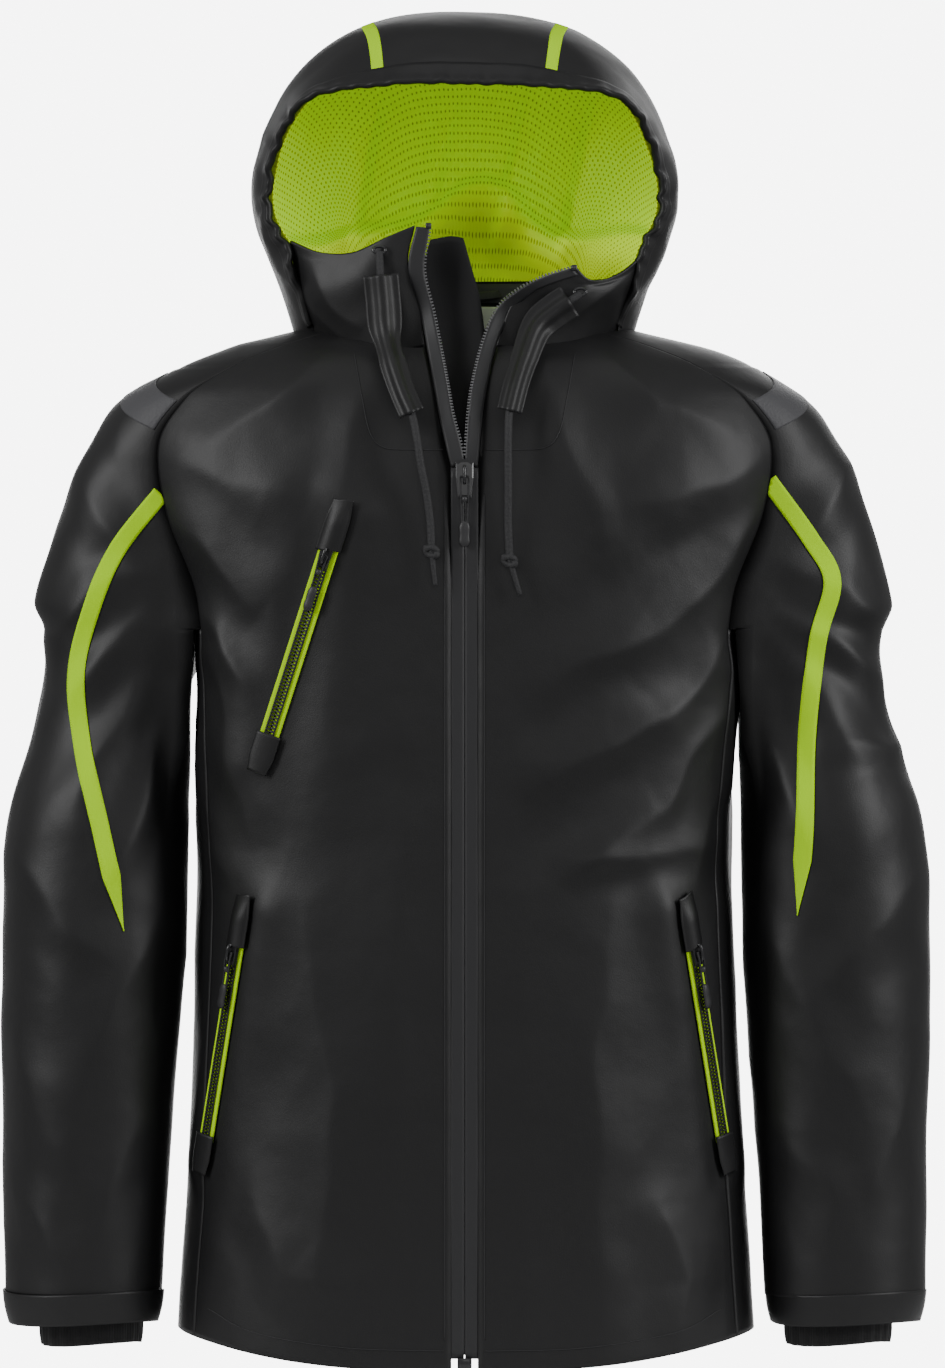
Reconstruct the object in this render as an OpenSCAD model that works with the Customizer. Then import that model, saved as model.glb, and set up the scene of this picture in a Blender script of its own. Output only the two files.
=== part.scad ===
/* [Body of the jacket] */
// Length of the body from the hanger loop down to the hem, centre front
body_length = 820; // [790:5:850]
// Half width of the hem
hem_half_width = 222; // [210:1:235]
// Half width at the waist
waist_half_width = 209; // [200:1:220]
// Half width of the chest panels between the armholes
chest_half_width = 248; // [240:1:256]
// Distance from the hanger loop forward to the front zip
front_depth = 215; // [200:1:230]
// Distance from the hanger loop backward to the shoulder blades
back_depth = 54; // [45:1:65]
// How much higher the hem sits at the side seams than at the front
hem_rise = 26; // [0:1:40]
// Thickness of the three-layer shell fabric as modelled
fabric = 2; // [1.5:0.1:3]

/* [Neck and collar] */
// Half width of the neck opening
neck_half_width = 128; // [120:1:135]
// Height of the standing back collar above the neck seam
back_collar_height = 38; // [30:1:44]
// Width of the hanger loop between its two sewn ends
loop_width = 56; // [40:1:70]

/* [Hood] */
// Height of the crown above the hanger loop
crown_height = 214; // [200:1:230]
// How far the brim reaches forward of the hanger loop
brim_reach = 172; // [160:1:185]
// Width of the two accent strips on the hood
hood_strip_width = 9; // [6:0.5:12]

/* [Sleeves] */
// Height of the sleeve hem below the hanger loop
sleeve_length = 765; // [740:5:790]
// Half width of the sleeve at the elbow
elbow_half_width = 71; // [64:1:76]
// Half width of the sleeve at the wrist
wrist_half_width = 60; // [54:1:64]
// Radius of the soft inner cuff
inner_cuff_radius = 37; // [34:1:42]
// Width of the accent strip on the sleeve
sleeve_strip_width = 14; // [10:1:18]

/* [Zips] */
// Height of the main slider below the hanger loop
main_slider_z = -137; // [-150:1:-125]
// Width of each half of the main zip tape
main_tape_width = 10; // [8:0.5:12]
// Pitch of the main zip teeth
main_pitch = 4; // [3:0.5:6]
// Visible length of a pocket zip
pocket_zip_length = 160; // [150:1:170]
// Width of a pocket zip's tape
pocket_tape_width = 15; // [12:0.5:18]
// Pitch of the pocket zip teeth
pocket_pitch = 3; // [2.5:0.5:5]

/* [Drawcord] */
// Diameter of the hood drawcord's free ends
cord_diameter = 6; // [4:0.5:7]

/* [Hidden] */

RIGHT = -1; // the wearer's right is at -X
LEFT = 1;
side_y = -80; // depth of the side seams and shoulder seams
seam_angle = 66; // where the front panel meets the side panel, and the edge of the armhole
skin_gap = 0.3; // between a piece and the fabric that it lies on
trim = 0.8; // thickness of tapes and welded strips

// Rows up the body: height, half width, front depth, back depth, squareness of the section.
torso_rows = [
    [-body_length, hem_half_width, -front_depth, 40, 2.5],
    [-700, (hem_half_width + waist_half_width) / 2, -front_depth, 38, 2.5],
    [-560, waist_half_width + 1, -front_depth, 35, 2.5],
    [-430, waist_half_width, -front_depth, 38, 2.5],
    [-330, waist_half_width + 3, -front_depth, back_depth - 8, 2.5],
    [-240, chest_half_width - 27, -front_depth, back_depth, 2.5],
    [-170, chest_half_width, 2 - front_depth, back_depth, 2.5],
    [-120, chest_half_width + 8, 10 - front_depth, back_depth - 8, 2.4],
    [-84, chest_half_width, 23 - front_depth, back_depth - 18, 2.3],
    [-60, chest_half_width - 26, 37 - front_depth, back_depth - 27, 2.2],
    [-44, 184, 51 - front_depth, back_depth - 37, 2.1],
    [-30, neck_half_width, 65 - front_depth, 6, 2],
];
ARMPIT = 5; // rows by number
CAP_TOP = 9;
NECK = 11;

// Outermost reach of the sleeve head, for the rows from the armpit to the top of the armhole.
cap_reach = [[331], [311], [291], [264], [224]];

// Rows up the sleeve: height, centre across, centre in depth, half width, half depth.
sleeve_rows = [
    [-sleeve_length, 293, -108, wrist_half_width, 60],
    [-657, 291, -102, wrist_half_width + 4, 68],
    [-505, 286, -95, elbow_half_width, 74],
    [-353, 282, -88, elbow_half_width - 5, 75],
    [-247, 279, -85, 55, 74],
];
sleeve_hinge = [235, -85, -200];

// Arches of the hood from the brim back to the nape: crown point, two shaping points, foot.
hood_rows = [
    [[0, -brim_reach, 149], [160, -168, 160], [190, -118, 30], [104, -150, 14]],
    [[0, -112, crown_height - 9], [172, -110, 205], [203, -95, 55], [120, -118, -14]],
    [[0, -35, crown_height], [176, -38, 206], [205, -50, 60], [126, -78, -26]],
    [[0, 38, crown_height - 26], [168, 30, 182], [195, 0, 50], [118, -42, -28]],
    [[0, 70, 128], [140, 60, 122], [165, 30, 26], [105, -20, -28]],
    [[0, 58, 40], [90, 50, 38], [125, 20, 0], [100, -12, -28]],
    [[0, 8, -22], [60, 8, -24], [88, 2, -28], [98, -8, -28]],
];
strip_u = 0.145; // where the accent strips and the panel seams run, as a share of an arch

// Where each pocket zip starts, the way it runs, and the way that it faces.
chest_top = [-101, -212.5, -195];
chest_way = [-50, 20, -155];
chest_out = [-0.279, -0.96, 0];
hand_top = [172.8, -176.8, -496]; // mirrored for the right side
hand_way = [26, 26.6, -160];
hand_out = [0.748, -0.664, 0];

right_cord_route = [[-65, -166, 22], [-64, -172, 8], [-62, -172, -12], [-60, -176, -36], [-55,
    -193, -58],
    [-48, -205, -80], [-40, -213, -99], [-36, -219, -118], [-33, -221, -138], [-29, -221, -158],
    [-26, -221, -180], [-25, -221, -199]];
left_cord_route = [[90, -166, -6], [80, -170, -12], [68, -172, -20], [55, -177, -32], [46, -191, -55],
    [39, -204, -77], [34, -212, -97], [33, -219, -118], [33, -221, -140], [33, -221, -162],
    [33, -221, -184], [34, -221, -206]];
upper_zip_left = [[4, -213, -128], [6, -206, -100], [10, -192, -72], [17, -174, -36], [28, -172, -15],
    [42, -174, -5], [60, -174, 4], [79, -170, 11]];
upper_zip_right = [[-4, -213, -128], [-6, -206, -100], [-8, -192, -72], [-14, -171, -36], [-20,
    -168, -5],
    [-25, -168, 20], [-29, -168, 41]];

BLACK = [0.09, 0.09, 0.1];
GREY = [0.3, 0.3, 0.31];
LIME = [0.68, 0.88, 0.05];

function unit(v) = v / norm(v);
function mirrored(p, side) = [side * p[0], p[1], p[2]];
function curve(a, b, c, d, t) =
    0.5 * (2 * b + (c - a) * t + (2 * a - 5 * b + 4 * c - d) * t * t + (3 * b - a - 3 * c + d) * t * t * t);
function row_at(rows, v) =
    let (last = len(rows) - 1, i = min(max(floor(v), 0), last - 1))
    [for (k = [0:len(rows[0]) - 1])
        curve(rows[max(i - 1, 0)][k], rows[i][k], rows[i + 1][k], rows[min(i + 2, last)][k], v - i)];
function bezier(p, u) =
    pow(1 - u, 3) * p[0] + 3 * u * pow(1 - u, 2) * p[1] + 3 * u * u * (1 - u) * p[2] + pow(u, 3) * p[3];

// A point of the body: angle a from the centre front towards the wearer's left, row number v.
function torso_point(a, v) =
    let (r = row_at(torso_rows, v), e = 2 / r[4], s = sin(a), c = cos(a), end_y = c > 0 ? r[2] : r[3])
    [r[1] * sign(s) * pow(abs(s), e), side_y + (end_y - side_y) * pow(abs(c), e),
        r[0] + hem_rise * s * s * pow(max(0, 1 - v / 2), 2)];
// A point of the sleeve head, which bridges the armhole: h runs from -1 at its front edge to 1 at
// its back.
function cap_point(h, v, side) =
    let (f = torso_point(side * seam_angle, v), b = torso_point(side * (180 - seam_angle), v),
        mid = (f + b) / 2, reach = row_at(cap_reach, v - ARMPIT)[0])
    [mid[0] + side * (reach - abs(mid[0])) * cos(90 * h), mid[1] + (b[1] - mid[1]) * sin(90 * h),
        mid[2]];
function sleeve_point(b, v, side) =
    let (r = row_at(sleeve_rows, v))
    [side * r[1] + r[3] * sin(b), r[2] - r[4] * cos(b), r[0]];
// A point of the hood: u across an arch, from -1 at its right foot to 1 at its left, t from brim
// to nape.
function hood_point(u, t) =
    let (p = row_at(hood_rows, t * 6), q = bezier(p, abs(u))) [sign(u) * q[0], q[1], q[2]];

// Moves a point of surface f out along its normal.
function offset_point(f, u, v, du, dv, o) =
    f(u, v) + o * unit(cross(f(u + du, v) - f(u - du, v), f(u, v + dv) - f(u, v - dv)));

function grid_faces(nu, nv, closed) =
    let (rows = nv + 1, layer = (closed ? nu : nu + 1) * rows, wrap = closed ? nu : nu + 1,
        at = function (k, i, j) k * layer + (i % wrap) * rows + j)
    concat(
        [for (i = [0:nu - 1], j = [0:nv - 1], n = [0, 1]) n == 0
            ? [at(0, i, j), at(0, i, j + 1), at(0, i + 1, j + 1)]
            : [at(0, i, j), at(0, i + 1, j + 1), at(0, i + 1, j)]],
        [for (i = [0:nu - 1], j = [0:nv - 1], n = [0, 1]) n == 0
            ? [at(1, i, j), at(1, i + 1, j + 1), at(1, i, j + 1)]
            : [at(1, i, j), at(1, i + 1, j), at(1, i + 1, j + 1)]],
        [for (i = [0:nu - 1], e = [0, nv], n = [0, 1]) let (q = e == 0
            ? [at(0, i, e), at(0, i + 1, e), at(1, i + 1, e), at(1, i, e)]
            : [at(0, i + 1, e), at(0, i, e), at(1, i, e), at(1, i + 1, e)])
            n == 0 ? [q[0], q[1], q[2]] : [q[0], q[2], q[3]]],
        closed ? [] : [for (j = [0:nv - 1], e = [0, nu], n = [0, 1]) let (q = e == 0
            ? [at(0, e, j + 1), at(0, e, j), at(1, e, j), at(1, e, j + 1)]
            : [at(0, e, j), at(0, e, j + 1), at(1, e, j + 1), at(1, e, j)])
            n == 0 ? [q[0], q[1], q[2]] : [q[0], q[2], q[3]]]);

// A closed sheet between two offsets of surface f. u_of(i, j) and v_of(i, j) take shares from 0 to 1.
module sheet(f, u_of, v_of, nu, nv, outer, inner, closed = false, du = 0.6, dv = 0.02) {
    points = [for (o = [outer, inner], i = [0:closed ? nu - 1 : nu], j = [0:nv])
        offset_point(f, u_of(i / nu, j / nv), v_of(i / nu, j / nv), du, dv, o)];
    polyhedron(points, grid_faces(nu, nv, closed), convexity = 8);
}
// A sheet on the body between two angles and two rows.
module body_sheet(a0, a1, v0, v1, nu, nv, outer = 0, inner = -fabric) {
    sheet(function (a, v) torso_point(a, v), function (i, j) a0 + (a1 - a0) * i,
        function (i, j) v0 + (v1 - v0) * j, nu, nv, outer, inner);
}
// A round or flat tube swept along a route. half gives its half widths across and out.
module sweep(route, half, sides = 8, turn = 0) {
    last = len(route) - 1;
    points = [for (k = [0:last]) let (
            way = unit(route[min(k + 1, last)] - route[max(k - 1, 0)]),
            across = unit(cross(way, [0, 1, 0])), out = cross(across, way))
        for (s = [0:sides - 1])
            route[k] + across * half[0] * cos(360 * s / sides + turn) + out * half[1] * sin(360 * s / sides + turn)];
    faces = concat(
        [for (k = [0:last - 1], s = [0:sides - 1], n = [0, 1]) let (t = (s + 1) % sides) n == 0
            ? [k * sides + s, (k + 1) * sides + t, (k + 1) * sides + s]
            : [k * sides + s, k * sides + t, (k + 1) * sides + t]],
        [[for (s = [sides - 1:-1:0]) s]], [[for (s = [0:sides - 1]) last * sides + s]]);
    polyhedron(points, faces, convexity = 6);
}
// Stands a zip's parts up on the jacket: local Z runs up the zip, local -Y faces out, the origin
// is its top.
module on_zip(top, way, out) {
    up = -unit(way);
    in = unit(cross(up, cross(-out, up)));
    across = cross(in, up);
    multmatrix([[across[0], in[0], up[0], top[0]], [across[1], in[1], up[1], top[1]],
        [across[2], in[2], up[2], top[2]], [0, 0, 0, 1]]) children();
}
module on_chest() { on_zip(chest_top, chest_way, chest_out) children(); }
module on_hand(side) {
    on_zip(mirrored(hand_top, side), mirrored(hand_way, side), mirrored(hand_out, side)) children();
}

// ---- fabric panels of the body ----
// The zip edge of a front panel follows the straight chain and then opens towards the collar.
zip_edge = [[14.3], [14.3], [14.3], [14.3], [14.3], [14.3], [14.3], [18], [24], [30], [34], [38]];
function zip_angle(v) =
    let (r = row_at(torso_rows, v)) asin(pow(row_at(zip_edge, v)[0] / r[1], r[4] / 2));
module front_panel(side) {
    color(BLACK) sheet(function (a, v) torso_point(a, v),
        function (i, j) side > 0 ? zip_angle(NECK * j) * (1 - i) + seam_angle * i
            : -seam_angle * (1 - i) - zip_angle(NECK * j) * i,
        function (i, j) NECK * j, 10, 22, 0, -fabric);
}
module side_panel(side) {
    color(BLACK) body_sheet(side > 0 ? seam_angle : seam_angle - 180,
        side > 0 ? 180 - seam_angle : -seam_angle,
        0, ARMPIT, 8, 10);
}
module back_panel() {
    color(BLACK) body_sheet(180 - seam_angle, 180 + seam_angle, 0, NECK, 16, 22);
}
// The raglan piece: the yoke over the shoulder, and the sleeve head that bridges the armhole.
module shoulder(side) {
    color(BLACK) {
        body_sheet(side > 0 ? seam_angle : seam_angle - 180, side > 0 ? 180 - seam_angle : -seam_angle,
            CAP_TOP + 0.02, NECK, 5, 4);
        sheet(function (h, v) cap_point(side * h, v, side), function (i, j) -0.98 + 1.96 * i,
            function (i, j) ARMPIT + 0.02 + (CAP_TOP - ARMPIT - 0.08) * j, 10, 8, 0, -fabric, du = 0.02);
    }
}
module hem_facing() {
    color(BLACK) body_sheet(4, 356, 0.02, 0.22, 88, 1, -fabric - 1.2, -fabric - 1.2 - trim);
}

// ---- neck ----
module collar_plate(bottom, top) {
    rows = 3;
    last = len(bottom) - 1;
    wall = [0, fabric, 0];
    grid = [for (k = [0, 1], i = [0:last],
        j = [0:rows]) bottom[i] + (top[i] - bottom[i]) * j / rows + k * wall];
    color(BLACK) polyhedron(grid, grid_faces(last, rows, false), convexity = 4);
}
module right_collar() {
    collar_plate([[-96, -125, -28.5], [-76, -137, -28.5], [-52, -146, -28.5], [-27, -151, -28.5]],
        [[-96, -139, 10], [-70, -156, 26], [-52, -162, 34], [-31, -164, 43]]);
}
module left_collar() {
    collar_plate([[27, -151, -28.5], [52, -146, -28.5], [76, -137, -28.5], [96, -125, -28.5]],
        [[44, -168, -6], [62, -167, 3], [80, -164, 10], [96, -148, -2]]);
}
neck_top = function (a, h) let (p = torso_point(a, NECK)) [p[0] * (1 + 0.0006 * h),
    p[1] + 0.05 * h, -29.5 + h];
module back_collar() {
    color(BLACK) sheet(neck_top, function (i, j) 70 + 220 * i, function (i, j) back_collar_height * j,
        24, 3, 0, -fabric, dv = 1);
}
module neck_tape() {
    color(GREY) sheet(neck_top, function (i, j) 130 + 100 * i, function (i, j) 20 + 16 * j,
        10, 1, -fabric - 0.7, -fabric - 0.7 - trim, dv = 1);
}
module hanger_loop() {
    sewn_y = -0.6;
    bar_y = -4;
    color(BLACK) {
        translate([-loop_width / 2, bar_y - 1.2, -4]) cube([loop_width, 1.2, 8]);
        for (s = [-1, 1]) translate([s * (loop_width / 2 - 1.5) - 1.5, bar_y, -4]) cube([3,
            sewn_y - bar_y, 8]);
    }
}
module size_label() {
    color([0.75, 0.75, 0.75]) translate([12, -1.4, -27]) cube([15, 0.8, 16]);
}
// The inner flap behind the zip, sewn to the right front, standing up behind the collar.
module storm_flap() {
    route = [[-10, -202, -812], [-10, -202, -600], [-10, -202, -400], [-10, -202, -200], [-10,
        -199, -155],
        [-10, -190, -120], [-10, -177, -88], [-10, -162, -62], [-10, -148, -42], [-11, -141, -10],
            [-12, -141, 34]];
    color(BLACK) sweep(route, [17 * sqrt(2), 0.8 * sqrt(2)], 4, 45);
}

// ---- main zip ----
chain_top = main_slider_z + 4;
module straight_tape(side) {
    x0 = side > 0 ? 3.5 : -3.5 - main_tape_width;
    translate([x0, -front_depth + fabric + skin_gap, -body_length + 8])
        cube([main_tape_width, trim, body_length - 8 + chain_top]);
}
module zip_tape(side) {
    route = side > 0 ? upper_zip_left : upper_zip_right;
    color(GREY) {
        straight_tape(side);
        sweep([for (p = route) p + [side * 4.5, 3, 0]], [3.5 * sqrt(2), 0.4 * sqrt(2)], 4, 45);
    }
}
// One row of teeth as a comb, standing along Z.
module comb(length, pitch, root, tip, thick) {
    teeth = floor(length / pitch);
    outline = concat([[root, 0]],
        [for (n = [0:teeth - 1], k = [0:3])
            [k == 0 || k == 3 ? tip * 0.55 : tip, pitch * (n + [0.1, 0.2, 0.7, 0.8][k])]],
        [[root, pitch * teeth]]);
    rotate([90, 0, 0]) linear_extrude(thick, center = true) polygon([for (p = outline) [p[0], p[1]]]);
}
module zip_teeth(side) {
    route = side > 0 ? upper_zip_left : upper_zip_right;
    color(GREY) {
        translate([side * 3.2, -front_depth + fabric + 0.7,
            -body_length + 12]) mirror([side > 0 ? 0 : 1, 0, 0])
            comb(body_length - 12 + chain_top, main_pitch, 0, -1.9, 2.4);
        sweep(route, [1.2, 1.2], 6);
    }
}
module zip_stops() {
    color(BLACK) {
        translate([-6, -front_depth - 0.5, -body_length - 2]) cube([12, 5, 9]);
        for (route = [upper_zip_left, upper_zip_right])
            translate(route[len(route) - 1] + [0, 0, 3.5]) cube([4, 3, 4], center = true);
    }
}
// A slider: a front plate and a rear plate joined by the wedge that parts the teeth, and a bridge
// for the pull.
module slider(w, h, front, rear, wedge) {
    difference() {
        union() {
            translate([-w / 2, front - 1.8, -h]) cube([w, 1.8, h]);
            translate([-w * 0.3, front - 1.8, 0]) cube([w * 0.6, 1.8, 2]);
        }
        for (s = [-1, 1]) translate([s * w / 2, front, -h]) rotate([90, 45, 0])
            cube([w * 0.28, w * 0.28, 8], center = true);
    }
    if (rear > front) {
        translate([-w / 2, rear, -h]) cube([w, 1.5, h]);
        translate([-wedge / 2, front, -h * 0.3]) cube([wedge, rear - front, h * 0.3]);
    }
    // bridge, with the gap that the pull's loop runs in
    for (z = [-h * 0.2, -h * 0.2 - 9]) translate([-1.6, front - 5, z - 1.5]) cube([3.2, 3.2, 3]);
    translate([-1.6, front - 6.2, -h * 0.2 - 10.5]) cube([3.2, 1.2, 12]);
}
// A pull: a cord loop under the bridge, a collar that ties it, and a moulded tip. Local origin:
// the hinge line.
module pull(loop, tip, w) {
    cord = 1.8;
    rotate([0, 90, 0]) cylinder(h = w, d = 2, center = true, $fn = 24);
    for (s = [-1, 1]) translate([s * w / 2, 0, -loop]) cylinder(h = loop + 1, d = cord, $fn = 24);
    translate([-w / 2 - 1, -1.2, -loop * 0.35]) cube([w + 2, 2.4, 3]);
    translate([0, 0, -loop - tip]) hull() {
        translate([0, 0, tip - 1]) cylinder(h = 2, d = w + 1, $fn = 24);
        translate([0, 0, 2]) sphere(d = w, $fn = 24);
    }
}
main_bridge_y = -front_depth - 2.4;
module main_slider() {
    color(BLACK) translate([0, 0, main_slider_z]) slider(13, 26, -front_depth + 1,
        -front_depth + 5, 1.6);
}
module main_pull() {
    color(BLACK) translate([0, main_bridge_y, main_slider_z - 9.7]) pull(34, 17, 6);
}

// ---- pocket zips, in the frame of on_zip ----
pocket_front = -2.2; // how far the teeth's faces stand out
module pocket_zip() {
    color(LIME) for (s = [-1,
        1]) translate([s * (pocket_tape_width / 4 + 0.6) - pocket_tape_width / 4, 0.4,
        -pocket_zip_length]) cube([pocket_tape_width / 2, trim, pocket_zip_length]);
    color(BLACK) for (s = [-1, 1]) translate([s * 3.4, -0.7,
        -pocket_zip_length + 2]) mirror([s > 0 ? 0 : 1, 0, 0])
        comb(pocket_zip_length - 4, pocket_pitch, 0, -2.2, 1.8);
}
module pocket_ends() {
    color(BLACK) {
        translate([-9, -5.8, 1]) cube([18, 1.2, 30]);
        for (x = [-9, 7.8]) translate([x, -4.6, 1]) cube([1.2, 5.4, 30]);
        translate([-9, -1.6, -pocket_zip_length - 26]) cube([18, 1.6, 25.5]);
    }
}
module pocket_slider() {
    color(BLACK) translate([0, 0, -4]) slider(9, 17, pocket_front, pocket_front, 1);
}
module pocket_pull() {
    color(BLACK) translate([0, pocket_front - 3.4, -11.9]) pull(28, 17, 5.4);
}
module pocket_bag(a0, a1, v0, v1) {
    color(GREY) body_sheet(a0, a1, v0, v1, 6, 6, -fabric - 2.5, -fabric - 3.5);
}

// ---- drawcord ----
module cord_eyelets() {
    color([0.2, 0.2, 0.2]) for (p = [right_cord_route[0], left_cord_route[0]])
        translate(p + [0, 0, 3.2]) difference() {
            cylinder(h = 3, d = cord_diameter + 6, center = true, $fn = 32);
            cylinder(h = 4, d = cord_diameter + 0.6, center = true, $fn = 32);
        }
}
module cord_tunnel(route) {
    color(BLACK) sweep([for (k = [3:6]) route[k] + [0, -cord_diameter / 2 - 2, 0]], [11 * sqrt(2),
        0.6 * sqrt(2)], 4, 45);
}
module drawcord(route) {
    color(GREY) sweep(route, [cord_diameter / 2, cord_diameter / 2]);
}
module cord_end(route, lean) {
    foot = route[len(route) - 1];
    color(GREY) translate(foot) {
        translate([0, 0, -5.2]) sphere(d = 10, $fn = 32);
        translate([0, 0, -6]) rotate([0, lean, 0]) translate([0, 0, -26]) cylinder(h = 24, d = 3.6,
            $fn = 24);
    }
}

// ---- reflective and accent trim ----
module shoulder_patches() {
    color(GREY) for (side = [RIGHT, LEFT])
        body_sheet(side > 0 ? seam_angle + 1 : seam_angle - 179,
            side > 0 ? 179 - seam_angle : -seam_angle - 1,
            CAP_TOP + 0.05, CAP_TOP + 0.85, 5, 2, skin_gap + trim, skin_gap);
}

// ---- hood ----
// The lowest part of each arch that turns with the hood, as a share of the arch.
hood_foot = [[0.99], [0.93], [0.9], [0.86], [0.8], [0.72]];
T_END = 5 / 6;
function foot_u(t) = row_at(hood_foot, t * 6)[0];
hood_surface = function (u, t) hood_point(u, t);
module hood_sheet(from, to, t0, t1, nu, nv, outer, inner) {
    sheet(hood_surface, function (i, j) from(t0 + (t1 - t0) * j) * (1 - i) + to(t0 + (t1 - t0) * j) * i,
        function (i, j) t0 + (t1 - t0) * j, nu, nv, outer, inner, du = 0.01, dv = 0.01);
}
module hood_side(side) {
    edge = function (t) side * strip_u;
    foot = function (t) side * foot_u(t);
    color(BLACK) if (side > 0) hood_sheet(edge, foot, 0.01, T_END, 10, 12, 0, -fabric);
    else hood_sheet(foot, edge, 0.01, T_END, 10, 12, 0, -fabric);
}
module hood_centre_panel() {
    color(BLACK) hood_sheet(function (t) -strip_u, function (t) strip_u, 0.01, T_END, 6, 14, 0, -fabric);
}
module hood_lining() {
    color(LIME) hood_sheet(function (t) -foot_u(t) + 0.01, function (t) foot_u(t) - 0.01, 0.03,
        T_END - 0.01, 22, 11, -9, -10);
}
module hood_rim() {
    color(BLACK) hood_sheet(function (t) -0.985, function (t) 0.985, 0.012, 0.05, 30, 1,
        1.1 + trim, 1.1);
}
module hood_strips() {
    half = hood_strip_width / 2 / 480; // a share of an arch's control length
    color(LIME) for (side = [RIGHT, LEFT]) hood_sheet(function (t) side * strip_u - half,
        function (t) side * strip_u + half, 0.06, T_END - 0.02, 1, 28, 1 + trim, 1);
}
module hood_cord() {
    route = [for (i = [0:32]) offset_point(hood_surface, -0.95 + 1.9 * i / 32, 0.035, 0.01, 0.01, -5.5)];
    color(GREY) sweep(route, [2, 2], 6);
}

// ---- sleeves ----
module sleeve(side) {
    // Two lengths that meet below the elbow. The top edge dips towards the armpit, to let the
    // sleeve rise.
    color(BLACK) for (part = [0, 1])
        sheet(function (b, v) sleeve_point(b, v, side), function (i, j) 360 * i,
            function (i, j) part == 0 ? 1.996 * j : 2 + j * (1.73 + 0.27 * side * sin(360 * i)),
            24, 6, 0, -fabric, closed = true, du = 1);
}
function cuff_point(b, v, side) =
    [side * 293 + (wrist_half_width - 9 * v) * sin(b), -108 - (60 - 9 * v) * cos(b),
        -sleeve_length - 22 * v];
module cuff_band(side) {
    color(BLACK) sheet(function (b, v) cuff_point(b, -v, side), function (i, j) 360 * i,
        function (i, j) -1 + 0.92 * j, 24, 2, 0, -fabric, closed = true, du = 1);
}
module inner_cuff(side) {
    color(BLACK) translate([side * 288, -108, -sleeve_length - 44]) difference() {
        cylinder(h = 82, r = inner_cuff_radius, $fn = 64);
        translate([0, 0, -1]) cylinder(h = 84, r = inner_cuff_radius - fabric, $fn = 64);
    }
}
// Angle of the accent strip round the sleeve, row by row from the strip's lower tip up.
strip_angle = [[24], [8], [-8], [-22], [-22], [-8]];
module sleeve_strip(side) {
    v0 = 2.1;
    half = sleeve_strip_width / 2 / 72 * 57.3;
    color(LIME) sheet(function (b, v) sleeve_point(b, v, side),
        function (i, j) side * -row_at(strip_angle, 5 * j)[0] + half * (2 * i - 1) * min(1,
            0.15 + 3 * j),
        function (i, j) v0 + (3.95 - v0) * j, 2, 12, skin_gap + trim, skin_gap, du = 1);
}

front_panel(RIGHT);  // right_front_panel
front_panel(LEFT);  // left_front_panel
side_panel(RIGHT);  // right_side_panel
side_panel(LEFT);  // left_side_panel
back_panel();
shoulder(RIGHT);  // right_shoulder
shoulder(LEFT);  // left_shoulder
hem_facing();
right_collar();
left_collar();
back_collar();
neck_tape();
hanger_loop();
size_label();
storm_flap();
zip_tape(RIGHT);  // right_zip_tape
zip_tape(LEFT);  // left_zip_tape
zip_teeth(RIGHT);  // right_zip_teeth
zip_teeth(LEFT);  // left_zip_teeth
zip_stops();
on_chest() pocket_zip();  // chest_zip
on_chest() pocket_ends();  // chest_zip_ends
pocket_bag(-52, -16, 4.2, 5.9);  // chest_pocket_bag
on_hand(RIGHT) pocket_zip();  // right_pocket_zip
on_hand(RIGHT) pocket_ends();  // right_pocket_ends
pocket_bag(-76, -34, 0.9, 2.6);  // right_pocket_bag
on_hand(LEFT) pocket_zip();  // left_pocket_zip
on_hand(LEFT) pocket_ends();  // left_pocket_ends
pocket_bag(34, 76, 0.9, 2.6);  // left_pocket_bag
cord_eyelets();
cord_tunnel(right_cord_route);  // right_cord_tunnel
cord_tunnel(left_cord_route);  // left_cord_tunnel
drawcord(right_cord_route);  // right_drawcord
drawcord(left_cord_route);  // left_drawcord
cord_end(right_cord_route, 4);  // right_cord_end
cord_end(left_cord_route, -18);  // left_cord_end
shoulder_patches();
hood_side(RIGHT);  // hood_right_panel
hood_side(LEFT);  // hood_left_panel
hood_centre_panel();
hood_lining();
hood_rim();
hood_strips();
hood_cord();
sleeve(RIGHT);  // right_sleeve
cuff_band(RIGHT);  // right_cuff_band
inner_cuff(RIGHT);  // right_inner_cuff
sleeve_strip(RIGHT);  // right_sleeve_strip
sleeve(LEFT);  // left_sleeve
cuff_band(LEFT);  // left_cuff_band
inner_cuff(LEFT);  // left_inner_cuff
sleeve_strip(LEFT);  // left_sleeve_strip
main_slider();
main_pull();
on_chest() pocket_slider();  // chest_slider
on_chest() pocket_pull();  // chest_pull
on_hand(RIGHT) pocket_slider();  // right_pocket_slider
on_hand(RIGHT) pocket_pull();  // right_pocket_pull
on_hand(LEFT) pocket_slider();  // left_pocket_slider
on_hand(LEFT) pocket_pull();  // left_pocket_pull
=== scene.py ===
"""A hooded waterproof shell jacket, hung by its neck loop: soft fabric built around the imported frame.

Millimetres are used throughout and turned into metres when a mesh is made. +X is the wearer's left,
+Y the back, +Z up, and the origin is the hanger loop.
"""

import math

import bpy
import numpy as np
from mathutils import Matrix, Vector, noise
from mathutils.bvhtree import BVHTree


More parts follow.
